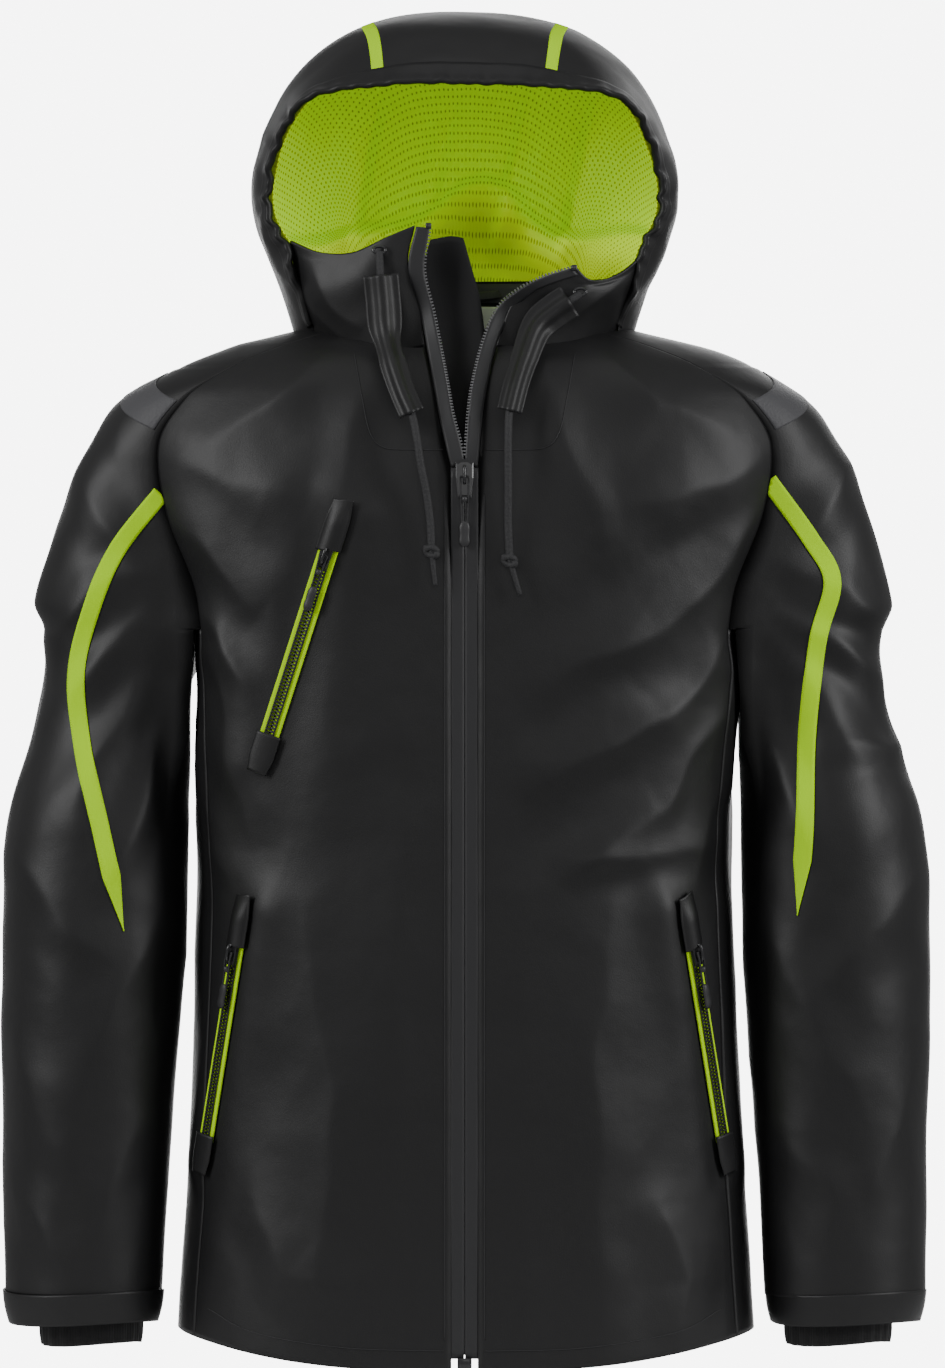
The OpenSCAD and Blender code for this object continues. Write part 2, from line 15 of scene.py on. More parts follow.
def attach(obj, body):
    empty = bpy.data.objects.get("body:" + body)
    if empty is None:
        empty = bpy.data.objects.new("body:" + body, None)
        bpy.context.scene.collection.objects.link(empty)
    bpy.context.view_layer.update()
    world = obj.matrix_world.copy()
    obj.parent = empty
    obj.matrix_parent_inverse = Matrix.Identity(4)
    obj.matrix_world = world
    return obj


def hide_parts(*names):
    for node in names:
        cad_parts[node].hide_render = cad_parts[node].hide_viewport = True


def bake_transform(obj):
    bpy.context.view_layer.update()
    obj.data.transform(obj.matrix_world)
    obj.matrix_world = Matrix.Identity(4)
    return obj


RIGHT = -1
LEFT = 1
# depth of the side seams, and heights of the hem, the neck seam and the sleeve's end
SIDE_Y = -80.0
HEM = -824
NECK = -30
SLEEVE_END = -772
# the hood is draped away from this point
HOOD_CENTRE = np.array([0, -60, 60.0])


def word_for(side):
    """The wearer's side as it stands in names."""
    return "left" if side == LEFT else "right"


def fitted(obj, node, body="jacket"):
    """Makes a piece ride on a body and stand for a CAD node, which it hides."""
    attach(obj, body)
    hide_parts(node)



# ---------------------------------------------------------------- small maths


def hermite(t, a, b, da, db):
    """The cubic from a to b that leaves with slope da and arrives with slope db."""
    return (
        (2 * t**3 - 3 * t**2 + 1) * a
        + (t**3 - 2 * t**2 + t) * da
        + (3 * t**2 - 2 * t**3) * b
        + (t**3 - t**2) * db
    )


def track(table, q):
    """Reads a table of [key, value, value...] rows as smooth curves at the keys q."""
    table = np.asarray(table, float)
    keys = table[:, 0]
    values = table[:, 1:]
    q = np.clip(np.asarray(q, float), keys[0], keys[-1])
    i = np.clip(np.searchsorted(keys, q, side="right") - 1, 0, len(keys) - 2)
    step = (keys[i + 1] - keys[i])[..., None]
    t = ((q - keys[i])[..., None]) / step
    rise = np.diff(values, axis=0) / np.diff(keys)[:, None]
    slopes = np.zeros_like(values)
    same = rise[1:] * rise[:-1] > 0
    slopes[1:-1] = np.where(same, 2 * rise[1:] * rise[:-1] / np.where(same, rise[1:] + rise[:-1], 1), 0)
    slopes[0] = rise[0]
    slopes[-1] = rise[-1]
    a = values[i]
    b = values[i + 1]
    da = slopes[i] * step
    db = slopes[i + 1] * step
    out = hermite(t, a, b, da, db)
    return [out[..., k] for k in range(values.shape[1])]


def smooth(x, low, high):
    t = np.clip((x - low) / (high - low), 0, 1)
    return t * t * (3 - 2 * t)


def points_of(x, y, z):
    """Points from their coordinates, each a number or an array that is spread to the others."""
    return np.stack(np.broadcast_arrays(x, y, z), -1)


def unit(v):
    return v / np.maximum(np.linalg.norm(v, axis=-1, keepdims=True), 1e-9)


def polyline_distance(points, line):
    """Distance of each point from a polyline, and the share of the way along it."""
    line = np.asarray(line, float)
    best = np.full(points.shape[:-1], 1e9)
    share = np.zeros(points.shape[:-1])
    lengths = np.linalg.norm(np.diff(line, axis=0), axis=1)
    total = lengths.sum()
    run = 0.0
    for a, b, size in zip(line[:-1], line[1:], lengths):
        d = b - a
        t = np.clip(((points - a) @ d) / (d @ d), 0, 1)
        gap = np.linalg.norm(points - (a + t[..., None] * d), axis=-1)
        near = gap < best
        best = np.where(near, gap, best)
        share = np.where(near, (run + t * size) / total, share)
        run += size
    return best, share


def through(points, q):
    """A flowing curve through points, read at positions q counted in points."""
    points = np.asarray(points, float)
    q = np.clip(np.asarray(q, float), 0, len(points) - 1)
    i = np.clip(np.floor(q).astype(int), 0, len(points) - 2)
    t = (q - i)[..., None]
    slopes = np.gradient(points, axis=0)
    a, b, da, db = points[i], points[i + 1], slopes[i], slopes[i + 1]
    return hermite(t, a, b, da, db)


def distances(path):
    """How far along a path each of its points lies."""
    return np.r_[0, np.cumsum(np.linalg.norm(np.diff(path, axis=0), axis=1))]


def read_at(want, far, path):
    """Points at the wanted distances along a path, far being those of its own points."""
    return np.stack([np.interp(want, far, path[:, k]) for k in range(3)], -1)


def curve_points(points, count):
    """A smooth curve through a few points, as count points evenly spread."""
    points = np.asarray(points, float)
    fine = through(points, np.linspace(0, len(points) - 1, count * 6))
    far = distances(fine)
    return read_at(np.linspace(0, far[-1], count), far, fine)


# ---------------------------------------------------------------- materials


def node_input(node, name, value):
    node.inputs[name].default_value = value


def material(name, color, roughness, sheen=0.0, coat=0.0, specular=0.3):
    mat = bpy.data.materials.new(name)
    mat.use_nodes = True
    shader = mat.node_tree.nodes["Principled BSDF"]
    node_input(shader, "Base Color", (*color, 1))
    node_input(shader, "Roughness", roughness)
    node_input(shader, "Sheen Weight", sheen)
    node_input(shader, "Sheen Roughness", 0.45)
    node_input(shader, "Coat Weight", coat)
    node_input(shader, "Specular IOR Level", specular)
    return mat


def add_bump(mat, texture_type, scale, strength, distance, stretch=(1, 1, 1)):
    """A bump from a texture in the object's own coordinates, on top of any bump already there."""
    tree = mat.node_tree
    shader = tree.nodes["Principled BSDF"]
    coords = tree.nodes.new("ShaderNodeTexCoord")
    mapping = tree.nodes.new("ShaderNodeMapping")
    node_input(mapping, "Scale", stretch)
    texture = tree.nodes.new(texture_type)
    node_input(texture, "Scale", scale)
    bump = tree.nodes.new("ShaderNodeBump")
    node_input(bump, "Strength", strength)
    node_input(bump, "Distance", distance)
    tree.links.new(coords.outputs["Object"], mapping.inputs["Vector"])
    tree.links.new(mapping.outputs["Vector"], texture.inputs["Vector"])
    height = texture.outputs["Fac"] if "Fac" in texture.outputs else texture.outputs[0]
    tree.links.new(height, bump.inputs["Height"])
    old = shader.inputs["Normal"].links
    if old:
        tree.links.new(old[0].from_socket, bump.inputs["Normal"])
    tree.links.new(bump.outputs["Normal"], shader.inputs["Normal"])


def shell_material():
    """Near-black woven laminate with a fine weave and a slight mottle."""
    mat = material("shell", (0.0045, 0.0045, 0.0048), 0.5)
    add_bump(mat, "ShaderNodeTexNoise", 900, 0.25, 0.0004)
    add_bump(mat, "ShaderNodeTexNoise", 30, 0.22, 0.003)
    add_bump(mat, "ShaderNodeTexNoise", 9, 0.3, 0.012)
    return mat


def mesh_material():
    """Lime knitted mesh: rows of small holes, drawn from the piece's own UVs in millimetres, with a painted
    glow.
    """
    mat = material("lime_mesh", (0.55, 0.78, 0.002), 0.75, specular=0.1)
    tree = mat.node_tree
    shader = tree.nodes["Principled BSDF"]
    coords = tree.nodes.new("ShaderNodeTexCoord")
    holes = tree.nodes.new("ShaderNodeTexVoronoi")
    holes.feature = "F1"
    node_input(holes, "Scale", 0.2)
    node_input(holes, "Randomness", 0.08)
    edge = tree.nodes.new("ShaderNodeValToRGB")
    edge.color_ramp.elements[0].position = 0.13
    edge.color_ramp.elements[0].color = (0.24, 0.36, 0.0, 1)
    edge.color_ramp.elements[1].position = 0.25
    edge.color_ramp.elements[1].color = (0.64, 0.9, 0.002, 1)
    bump = tree.nodes.new("ShaderNodeBump")
    node_input(bump, "Strength", 0.5)
    node_input(bump, "Distance", 0.0008)
    tree.links.new(coords.outputs["UV"], holes.inputs["Vector"])
    tree.links.new(holes.outputs["Distance"], edge.inputs["Fac"])
    tree.links.new(edge.outputs["Color"], shader.inputs["Base Color"])
    # painted glow: the mesh gives off its own colour as light (strength 0.1), though it is no lamp, which
    # brightens it where it sits in shade
    tree.links.new(edge.outputs["Color"], shader.inputs["Emission Color"])
    node_input(shader, "Emission Strength", 0.1)
    tree.links.new(holes.outputs["Distance"], bump.inputs["Height"])
    tree.links.new(bump.outputs["Normal"], shader.inputs["Normal"])
    return mat


def make_materials():
    mats = {
        "shell": shell_material(),
        "mesh": mesh_material(),
        "inner": material("inner", (0.009, 0.009, 0.0095), 0.75, specular=0.15),
        "lime": material("lime_film", (0.33, 0.6, 0.0), 0.8, specular=0.0),
        "lime_tape": material("lime_tape", (0.36, 0.62, 0.0), 0.8, specular=0.0),
        "tape": material("grey_tape", (0.014, 0.014, 0.015), 0.5),
        "teeth": material("grey_teeth", (0.09, 0.09, 0.093), 0.35),
        "black_teeth": material("black_teeth", (0.018, 0.018, 0.018), 0.35),
        "plastic": material("black_plastic", (0.012, 0.012, 0.013), 0.28, coat=0.3),
        "pull": material("soft_pull", (0.02, 0.02, 0.021), 0.45),
        "cord": material("braid", (0.016, 0.016, 0.017), 0.7),
        "reflective": material("reflective", (0.05, 0.05, 0.053), 0.5, specular=0.15),
        "knit": material("cuff_knit", (0.007, 0.007, 0.0075), 0.85, sheen=0.05),
        "neck_tape": material("neck_tape", (0.04, 0.04, 0.043), 0.7),
        "label": material("label", (0.42, 0.42, 0.43), 0.5),
        "pocket": material("pocket_mesh", (0.03, 0.03, 0.032), 0.8),
        "thread": material("thread", (0.014, 0.014, 0.015), 0.6),
    }
    # what is pressed, woven or knitted into each surface: texture, scale, strength and depth
    for name, kind, scale, strength, distance in (
        ("cord", "Voronoi", 420, 0.7, 0.0006),
        ("reflective", "Voronoi", 520, 0.5, 0.0004),
        ("tape", "Noise", 700, 0.15, 0.0003),
        ("lime_tape", "Noise", 700, 0.15, 0.0003),
        ("lime", "Noise", 500, 0.1, 0.0003),
        ("inner", "Noise", 800, 0.2, 0.0004),
        ("pocket", "Voronoi", 400, 0.4, 0.0005),
        ("plastic", "Noise", 400, 0.06, 0.0002),
        ("pull", "Noise", 600, 0.15, 0.0002),
        ("teeth", "Noise", 600, 0.1, 0.0002),
        ("black_teeth", "Noise", 600, 0.1, 0.0002),
        ("neck_tape", "Wave", 300, 0.4, 0.0003),
        ("label", "Noise", 700, 0.1, 0.0002),
        ("thread", "Noise", 800, 0.3, 0.0002),
    ):
        add_bump(mats[name], "ShaderNodeTex" + kind, scale, strength, distance)
    add_bump(mats["knit"], "ShaderNodeTexWave", 260, 0.5, 0.0008, stretch=(1, 1, 0.05))
    return mats


# ---------------------------------------------------------------- meshes


def make_object(name, verts, faces, mat, uvs=None):
    """A smooth-shaded mesh from points in millimetres. uvs holds one pair per vertex, in millimetres."""
    mesh = bpy.data.meshes.new(name)
    mesh.from_pydata([tuple(p) for p in np.asarray(verts) * 0.001], [], faces)
    mesh.validate()
    mesh.polygons.foreach_set("use_smooth", [True] * len(mesh.polygons))
    if uvs is not None:
        layer = mesh.uv_layers.new(name="UVMap")
        index = np.empty(len(mesh.loops), dtype=np.int32)
        mesh.loops.foreach_get("vertex_index", index)
        layer.data.foreach_set("uv", np.asarray(uvs, np.float32)[index].ravel())
    mesh.materials.append(mat)
    obj = bpy.data.objects.new(name, mesh)
    bpy.context.scene.collection.objects.link(obj)
    return obj


def grid_normals(grid, closed=False):
    """Normals of a grid of points shaped (across, along, 3)."""
    if closed:
        du = np.roll(grid, -1, 0) - np.roll(grid, 1, 0)
    else:
        du = np.gradient(grid, axis=0)
    dv = np.gradient(grid, axis=1)
    return unit(np.cross(du, dv))


def cloth(name, grid, mat, thick, closed=False, flip=False, uncreased=None):
    """A sheet with thickness. The grid is its outer face; the inner one lies thick behind it.

    uncreased is the same grid before its folds, which keeps a woven pattern straight.
    """
    nu, nv = grid.shape[:2]
    normals = grid_normals(grid, closed) * (-1 if flip else 1)
    inner = grid - normals * thick
    verts = np.concatenate([grid.reshape(-1, 3), inner.reshape(-1, 3)])
    layer = nu * nv
    count = nu if closed else nu - 1

    def at(k, i, j):
        return k * layer + (i % nu) * nv + j

    faces = []
    for i in range(count):
        for j in range(nv - 1):
            a = [at(0, i, j), at(0, i + 1, j), at(0, i + 1, j + 1), at(0, i, j + 1)]
            b = [at(1, i, j), at(1, i, j + 1), at(1, i + 1, j + 1), at(1, i + 1, j)]
            faces.append(a[::-1] if flip else a)
            faces.append(b[::-1] if flip else b)
        for j in (0, nv - 1):
            e = [at(0, i, j), at(1, i, j), at(1, i + 1, j), at(0, i + 1, j)]
            faces.append(e[::-1] if (j > 0) != flip else e)
    if not closed:
        for i in (0, nu - 1):
            for j in range(nv - 1):
                e = [at(0, i, j), at(0, i, j + 1), at(1, i, j + 1), at(1, i, j)]
                faces.append(e[::-1] if (i > 0) != flip else e)
    plain_grid = grid if uncreased is None else uncreased
    across = np.zeros((nu, nv))
    across[1:] = np.cumsum(np.linalg.norm(np.diff(plain_grid, axis=0), axis=2), 0)
    along = np.zeros((nu, nv))
    along[:, 1:] = np.cumsum(np.linalg.norm(np.diff(plain_grid, axis=1), axis=2), 1)
    uv = np.stack([across, along], -1).reshape(-1, 2)
    return make_object(name, verts, faces, mat, np.concatenate([uv, uv]))


def quads(grid, closed, start):
    """The faces of a grid, its points numbered from start."""
    nu, nv = grid.shape[:2]
    faces = []
    for i in range(nu if closed else nu - 1):
        for j in range(nv - 1):
            a = start + i * nv + j
            b = start + (i + 1) % nu * nv + j
            faces.append([a, b, b + 1, a + 1])
    return faces


def skin(name, grids, mat, thick, flip):
    """Sheets that meet edge to edge, welded into one and given thickness. grids holds (points, closed)."""
    verts = []
    faces = []
    start = 0
    for grid, closed in grids:
        faces += [face[::-1] if flip else face for face in quads(grid, closed, start)]
        verts.append(grid.reshape(-1, 3))
        start += len(verts[-1])
    obj = make_object(name, np.concatenate(verts), faces, mat)
    weld = obj.modifiers.new("weld", "WELD")
    weld.merge_threshold = 0.0004
    wall = obj.modifiers.new("wall", "SOLIDIFY")
    wall.thickness = thick * 0.001
    wall.offset = -1
    bpy.context.view_layer.objects.active = obj
    for mod in ("weld", "wall"):
        bpy.ops.object.modifier_apply(modifier=mod)
    return obj


def joined(name, objects):
    """Joins objects into the first one."""
    bpy.ops.object.select_all(action="DESELECT")
    for obj in objects:
        obj.select_set(True)
    bpy.context.view_layer.objects.active = objects[0]
    bpy.ops.object.join()
    objects[0].name = name
    return objects[0]


def tube_mesh(name, path, radius, mat, sides=10, flat=1.0, out=(0, -1, 0), caps=True):
    """A tube along a path. radius may be one value or one for each point; flat squashes it along out."""
    path = np.asarray(path, float)
    radius = np.broadcast_to(np.asarray(radius, float), len(path))
    way = unit(np.gradient(path, axis=0))
    side = unit(np.cross(way, np.asarray(out, float)))
    up = np.cross(side, way)
    angles = np.linspace(0, 2 * math.pi, sides, endpoint=False)
    rings = (
        path[:, None]
        + side[:, None] * (radius[:, None] * np.cos(angles))[..., None]
        + up[:, None] * (radius[:, None] * flat * np.sin(angles))[..., None]
    )
    verts = rings.reshape(-1, 3)
    faces = []
    for k in range(len(path) - 1):
        for s in range(sides):
            t = (s + 1) % sides
            faces.append([k * sides + s, (k + 1) * sides + s, (k + 1) * sides + t, k * sides + t])
    if caps:
        faces.append(list(range(sides)))
        faces.append([(len(path) - 1) * sides + s for s in range(sides)][::-1])
    return make_object(name, verts, faces, mat)


def block(name, centre, size, mat, bevel):
    """A bevelled box."""
    half = np.asarray(size, float) / 2
    corners = np.array([[x, y, z] for x in (-1, 1) for y in (-1, 1) for z in (-1, 1)], float)
    verts = np.asarray(centre, float) + corners * half
    faces = [[0, 1, 3, 2], [4, 6, 7, 5], [0, 4, 5, 1], [2, 3, 7, 6], [0, 2, 6, 4], [1, 5, 7, 3]]
    obj = make_object(name, verts, faces, mat)
    mod = obj.modifiers.new("bevel", "BEVEL")
    mod.width = bevel * 0.001
    mod.segments = 2
    bpy.context.view_layer.objects.active = obj
    bpy.ops.object.modifier_apply(modifier="bevel")
    return obj


# ---------------------------------------------------------------- the body's form

# height, half width, front, back, squareness
TORSO = [
    [-824, 222, -215, 40, 2.5],
    [-700, 215, -215, 38, 2.5],
    [-560, 209, -215, 35, 2.5],
    [-430, 206, -215, 38, 2.5],
    [-330, 210, -215, 46, 2.6],
    [-240, 219, -215, 54, 2.6],
    [-170, 246, -213, 54, 2.5],
    [-120, 256, -205, 46, 2.4],
    [-84, 248, -192, 36, 2.3],
    [-60, 222, -178, 27, 2.2],
    [-44, 184, -164, 17, 2.1],
    [-30, 128, -150, 6, 2.0],
]
# height, angle of the seam between the front panel and what lies beside it
SEAM = [[-824, 66], [-170, 66], [-120, 64], [-84, 57], [-60, 51], [-44, 48], [-30, 46]]
# height, how far the sleeve head reaches out beyond the body
REACH = [[-262, 333], [-239, 331], [-201, 321], [-163, 309], [-133, 297], [-110, 284], [-87, 267],
         [-60, 224]]
ARMPIT = -262.0
YOKE = -60.0
# share of the way round a sleeve that its outside takes, at its head and where it hangs
OUTER_SHARE = 0.62
OUTER_TURN = 0.655
# how far across the point lies that a sleeve head is draped away from, and how far below its row
ROOT_X = 190
ROOT_DROP = 40
# height, centre across, centre in depth, half width, half depth
SLEEVE = [
    [-772, 293, -108, 60, 60],
    [-695, 292, -103, 63, 65],
    [-619, 290, -99, 66.5, 70],
    [-543, 287, -96, 70, 73],
    [-467, 285, -93, 71.5, 75],
    [-391, 282, -90, 69, 76],
    [-330, 277, -87, 66, 76],
    [-262, 270, -85, 62, 74],
]


def hem_lift(angle, z):
    """How far a point near the hem is raised, so that the hem curves up to the side seams."""
    return 26 * np.sin(angle) ** 2 * smooth(-z, 640, -HEM)


def torso_point(angle, z):
    """Points of the body at angles in degrees from the centre front, positive to the wearer's left."""
    angle, z = np.broadcast_arrays(np.radians(angle), np.asarray(z, float))
    width, front, back, square = track(TORSO, z)
    s = np.sin(angle)
    c = np.cos(angle)
    e = 2 / square
    end = np.where(c > 0, front, back)
    x = width * np.sign(s) * np.abs(s) ** e
    # the sleeve presses the side of the body flat below the armpit
    pressed = smooth(z, -450, -380) * (1 - smooth(z, -265, -240))
    limit = 205 + 3 * (1 - pressed)
    x = np.where(pressed > 0, np.sign(x) * (np.abs(x) - pressed * np.maximum(np.abs(x) - limit, 0)), x)
    y = SIDE_Y + (end - SIDE_Y) * np.abs(c) ** e
    return points_of(x, y, z + hem_lift(angle, z))


def seam_angle(z):
    return track(SEAM, z)[0]


def shoulder_point(h, z, side):
    """Points of the sleeve head at height z: h runs from the front seam at -1 to the back seam at 1."""
    h, z = np.broadcast_arrays(np.asarray(h, float), np.asarray(z, float))
    a = seam_angle(z)
    angle = a + (180 - 2 * a) * (h + 1) / 2
    p = torso_point(side * angle, z)
    reach = track(REACH, z)[0]
    width = track(TORSO, z)[0]
    swell = smooth(-z, -YOKE, -ARMPIT) ** 0.8
    round_out = np.clip(1 - np.abs(h) ** 2.3, 0, 1) ** 0.62
    extra = np.where(z < YOKE, np.maximum(reach - width, 0), 0)
    x = p[..., 0] + side * extra * round_out
    flank = np.clip((np.abs(h) - 0.2) / 0.8, 0, 1)
    y = SIDE_Y + (p[..., 1] - SIDE_Y) * (1 + 0.16 * swell * np.sin(np.pi * flank))
    return points_of(x, y, p[..., 2])


def sleeve_point(b, z, side):
    """Points of the sleeve below the armpit. b runs round it: front seam 0, outside, back seam, inside 1."""
    b, z = np.broadcast_arrays(np.asarray(b, float), np.asarray(z, float))
    top = np.full(z.shape, ARMPIT)
    outer = b < OUTER_SHARE
    h = np.where(outer, 2 * b / OUTER_SHARE - 1, 0)
    head = shoulder_point(h, top, side)
    front = shoulder_point(np.full(z.shape, -1.0), top, side)
    back = shoulder_point(np.full(z.shape, 1.0), top, side)
    t = np.clip((b - OUTER_SHARE) / (1 - OUTER_SHARE), 0, 1)
    inside = back + (front - back) * t[..., None]
    inside[..., 0] += side * 9 * np.sin(np.pi * t)
    d_shape = np.where(outer[..., None], head, inside)
    xc, yc, rx, ry = track(SLEEVE, z)
    start = math.radians(-58)
    rest = (b - OUTER_SHARE) / (1 - OUTER_SHARE) * (1 - OUTER_TURN)
    angle = start + 2 * math.pi * np.where(outer, b / OUTER_SHARE * OUTER_TURN, OUTER_TURN + rest)
    ring = points_of(side * (xc + rx * np.sin(angle)), yc - ry * np.cos(angle), z)
    w = smooth(-z, -ARMPIT, 420)[..., None]
    p = d_shape * (1 - w) + ring * w
    p[..., 2] = z
    return p


# ---------------------------------------------------------------- folds

# Folds on the front of the jacket, as drawn on it: points (across, height), width, height.
FOLDS = [
    # from the right armhole over the chest
    ([(-236, -170), (-196, -205), (-150, -250)], 20, 7),
    ([(-222, -228), (-190, -262), (-150, -330)], 18, 7),
    ([(-206, -262), (-180, -330), (-160, -430)], 20, 6),
    ([(-205, -330), (-196, -400), (-170, -480)], 16, 5),
    ([(-232, -130), (-180, -150), (-120, -158)], 24, 4),
    # from the left armhole over the chest
    ([(236, -160), (205, -215), (150, -262), (70, -300)], 22, 7),
    ([(226, -215), (200, -270), (150, -330), (60, -380)], 22, 8),
    ([(212, -255), (196, -330), (150, -400), (70, -455)], 22, 7),
    ([(206, -300), (200, -380), (170, -460)], 16, 5),
    ([(236, -120), (190, -150), (120, -170)], 22, 5),
    # collar drag lines
    ([(60, -60), (75, -120), (110, -200)], 16, 4),
    ([(-75, -60), (-90, -120), (-100, -180)], 14, 3),
    ([(-100, -45), (-150, -95), (-200, -120)], 18, 4),
    ([(100, -45), (150, -90), (205, -110)], 18, 4),
    # waist and skirt
    ([(-120, -480), (-100, -620), (-110, -800)], 34, 6),
    ([(-40, -420), (-52, -560), (-50, -760)], 30, 4),
    ([(110, -470), (95, -600), (110, -800)], 36, 6),
    ([(50, -470), (40, -600), (45, -800)], 30, 4),
    ([(-160, -690), (-130, -745), (-80, -770)], 18, 3),
    ([(190, -420), (140, -440), (60, -430)], 14, 3.5),
    ([(150, -700), (170, -760), (160, -810)], 16, 4),
]
# The same on each sleeve.
RIGHT_SLEEVE_FOLDS = [
    ([(-234, -235), (-262, -275), (-318, -330)], 13, 4.5),
    ([(-232, -262), (-255, -320), (-300, -400)], 13, 4.5),
    ([(-238, -215), (-285, -235), (-330, -285)], 12, 4),
    ([(-228, -310), (-240, -380), (-272, -455)], 11, 3.5),
    ([(-300, -140), (-268, -185), (-240, -225)], 13, 4),
    ([(-352, -430), (-318, -470), (-268, -520)], 16, 3),
    ([(-232, -480), (-262, -540), (-300, -620)], 16, 2.6),
    ([(-352, -560), (-325, -620), (-300, -690)], 18, 2.4),
    ([(-250, -640), (-275, -690), (-280, -740)], 14, 2.2),
    ([(-345, -690), (-320, -725), (-300, -752)], 12, 2.2),
]
LEFT_SLEEVE_FOLDS = [
    ([(234, -228), (266, -262), (325, -310)], 13, 4.5),
    ([(230, -258), (262, -312), (312, -372)], 13, 5),
    ([(240, -205), (290, -228), (335, -270)], 12, 4),
    ([(228, -300), (240, -370), (262, -430)], 11, 3.5),
    ([(300, -135), (270, -175), (240, -212)], 13, 4),
    ([(348, -340), (322, -352), (285, -350)], 12, 4),
    ([(354, -440), (322, -485), (275, -535)], 16, 3),
    ([(232, -500), (265, -560), (305, -630)], 16, 2.6),
    ([(354, -580), (328, -640), (305, -700)], 18, 2.4),
    ([(252, -650), (278, -700), (284, -745)], 14, 2.2),
]
SLEEVE_FOLDS = {RIGHT: RIGHT_SLEEVE_FOLDS, LEFT: LEFT_SLEEVE_FOLDS}


def wander(points, scale, seed):
    """Smooth noise at each point, between about -1 and 1."""
    flat = points.reshape(-1, 3) / scale + seed
    values = [noise.noise(Vector(p)) for p in flat]
    return np.array(values).reshape(points.shape[:-1])


def drape(points, outward, folds, amount=1.0, seed=3.0):
    """Pushes points along outward by the folds drawn on the front and by soft noise all round."""
    front = smooth(-outward[..., 1], -0.25, 0.25)
    flat = points[..., [0, 2]]
    bent = flat + np.stack([wander(points, 55, seed), wander(points, 55, seed + 9)], -1) * 9
    push = np.zeros(points.shape[:-1])
    for line, width, height in folds:
        gap, share = polyline_distance(bent, line)
        taper = np.sin(np.pi * np.clip(0.08 + 0.9 * share, 0, 1)) ** 0.6
        ridge = np.exp(-((gap / width) ** 1.35)) - 0.35 * np.exp(-(((gap - 1.8 * width) / width) ** 2))
        push += front * height * ridge * taper
    slow = wander(points * np.array([1, 1, 0.45]), 90, seed + 20)
    mid = 1 - np.abs(wander(points * np.array([1, 1, 0.6]), 48, seed + 40)) * 2
    push += slow * 3.2 + mid * 1.1 * (1 - 0.5 * front)
    return points + outward * (push * amount)[..., None]


# ---------------------------------------------------------------- body panels


def torso_out(p, z):
    """Outward direction of the body at a point, the same for every panel that shares it."""
    width, front, back, _ = track(TORSO, z)
    depth = np.where(p[..., 1] < SIDE_Y, SIDE_Y - front, back - SIDE_Y)
    return unit(points_of(p[..., 0] / width**2, (p[..., 1] - SIDE_Y) / depth**2, 0.0))


def near_seam(p, z, side):
    """1 at the raglan seam and below it at the side seam, falling to 0 about 30 mm away."""
    seam = torso_point(side * seam_angle(z), z)
    return np.exp(-((p[..., 0] - seam[..., 0]) ** 2) / 22.0**2) * smooth(z, -300, -262)


def shared_out(p, z, own, side):
    """Makes neighbours across the raglan seam move the same way."""
    w = near_seam(p, z, side)[..., None]
    fixed = points_of(0.0, np.where(p[..., 1] < SIDE_Y, -1.0, 1.0), 0.0)
    return unit(own * (1 - w) + fixed * w)


def body_grid(angles, heights, folds, side):
    angle, z = np.broadcast_arrays(angles, heights)
    p = torso_point(angle, z)
    out = shared_out(p, z, torso_out(p, z), side)
    calm = 1 - 0.9 * np.exp(-((np.abs(p[..., 0]) / 38) ** 4)) * smooth(-p[..., 1], 100, 140)
    moved = drape(p, out, folds)
    return seat_zips(p + (moved - p) * calm[..., None], p)


def zip_edge(side, z):
    """Distance of a front panel's zip edge from the centre: straight up to the slider, then opening."""
    if side == RIGHT:
        rows = [[-824, 10], [-150, 10], [-123, 16], [-77, 24], [-50, 30], [-30, 34]]
    else:
        rows = [[-824, 10], [-150, 10], [-123, 12], [-77, 17], [-43, 26], [-30, 34]]
    return track(rows, z)[0]


def front_panel(side, mats):
    heights = np.linspace(HEM, NECK, 200)[None, :]
    width, _, _, square = track(TORSO, heights)
    start = np.degrees(np.arcsin((zip_edge(side, heights) / width) ** (square / 2)))
    share = np.linspace(0, 1, 76)[:, None]
    angles = side * (start + (seam_angle(heights) - start) * share)
    name = word_for(side) + "_front"
    grid = body_grid(angles, heights, FOLDS, side)
    obj = cloth(name, grid, mats["shell"], 1.1, flip=side == RIGHT)
    fitted(obj, name + "_panel")
    return grid


def straight_back(tree, x, z):
    """Where a line from in front of the jacket straight back meets a surface, and the normal there."""
    hit, normal, _, _ = tree.ray_cast(Vector((x, -400, z)), Vector((0, 1, 0)))
    return hit, normal


def seams(side, grid, mats):
    """Topstitching on a front panel: the chest yoke, beside the zip and above the hem."""
    tree = surface_tree([(grid, False)])
    lines = [
        [(84, -52), (78, -85), (72, -112), (62, -124), (40, -126), (16, -126)],
        [(15, -160), (15, -480), (15, -800)],
        [(16, -808), (90, -806), (160, -796), (196, -780)],
    ]
    parts = []
    for line in lines:
        route = curve_points([(side * x, 0, z) for x, z in line], 160)
        path = []
        for x, _, z in route:
            hit, _ = straight_back(tree, x, z)
            if hit is not None:
                path.append((hit.x, hit.y - 0.25, hit.z))
        parts.append(tube_mesh("stitch", path, 0.4, mats["thread"], sides=5))
    obj = joined(word_for(side) + "_front_stitching", parts)
    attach(obj, "jacket")


def side_panel(side, mats):
    heights = np.linspace(HEM, ARMPIT, 140)[None, :]
    share = np.linspace(0, 1, 30)[:, None]
    a = seam_angle(heights)
    angles = side * (a + (180 - 2 * a) * share)
    word = word_for(side)
    grid = body_grid(angles, heights, FOLDS, side)
    obj = cloth(word + "_side", grid, mats["shell"], 1.1, flip=side == RIGHT)
    fitted(obj, word + "_side_panel")


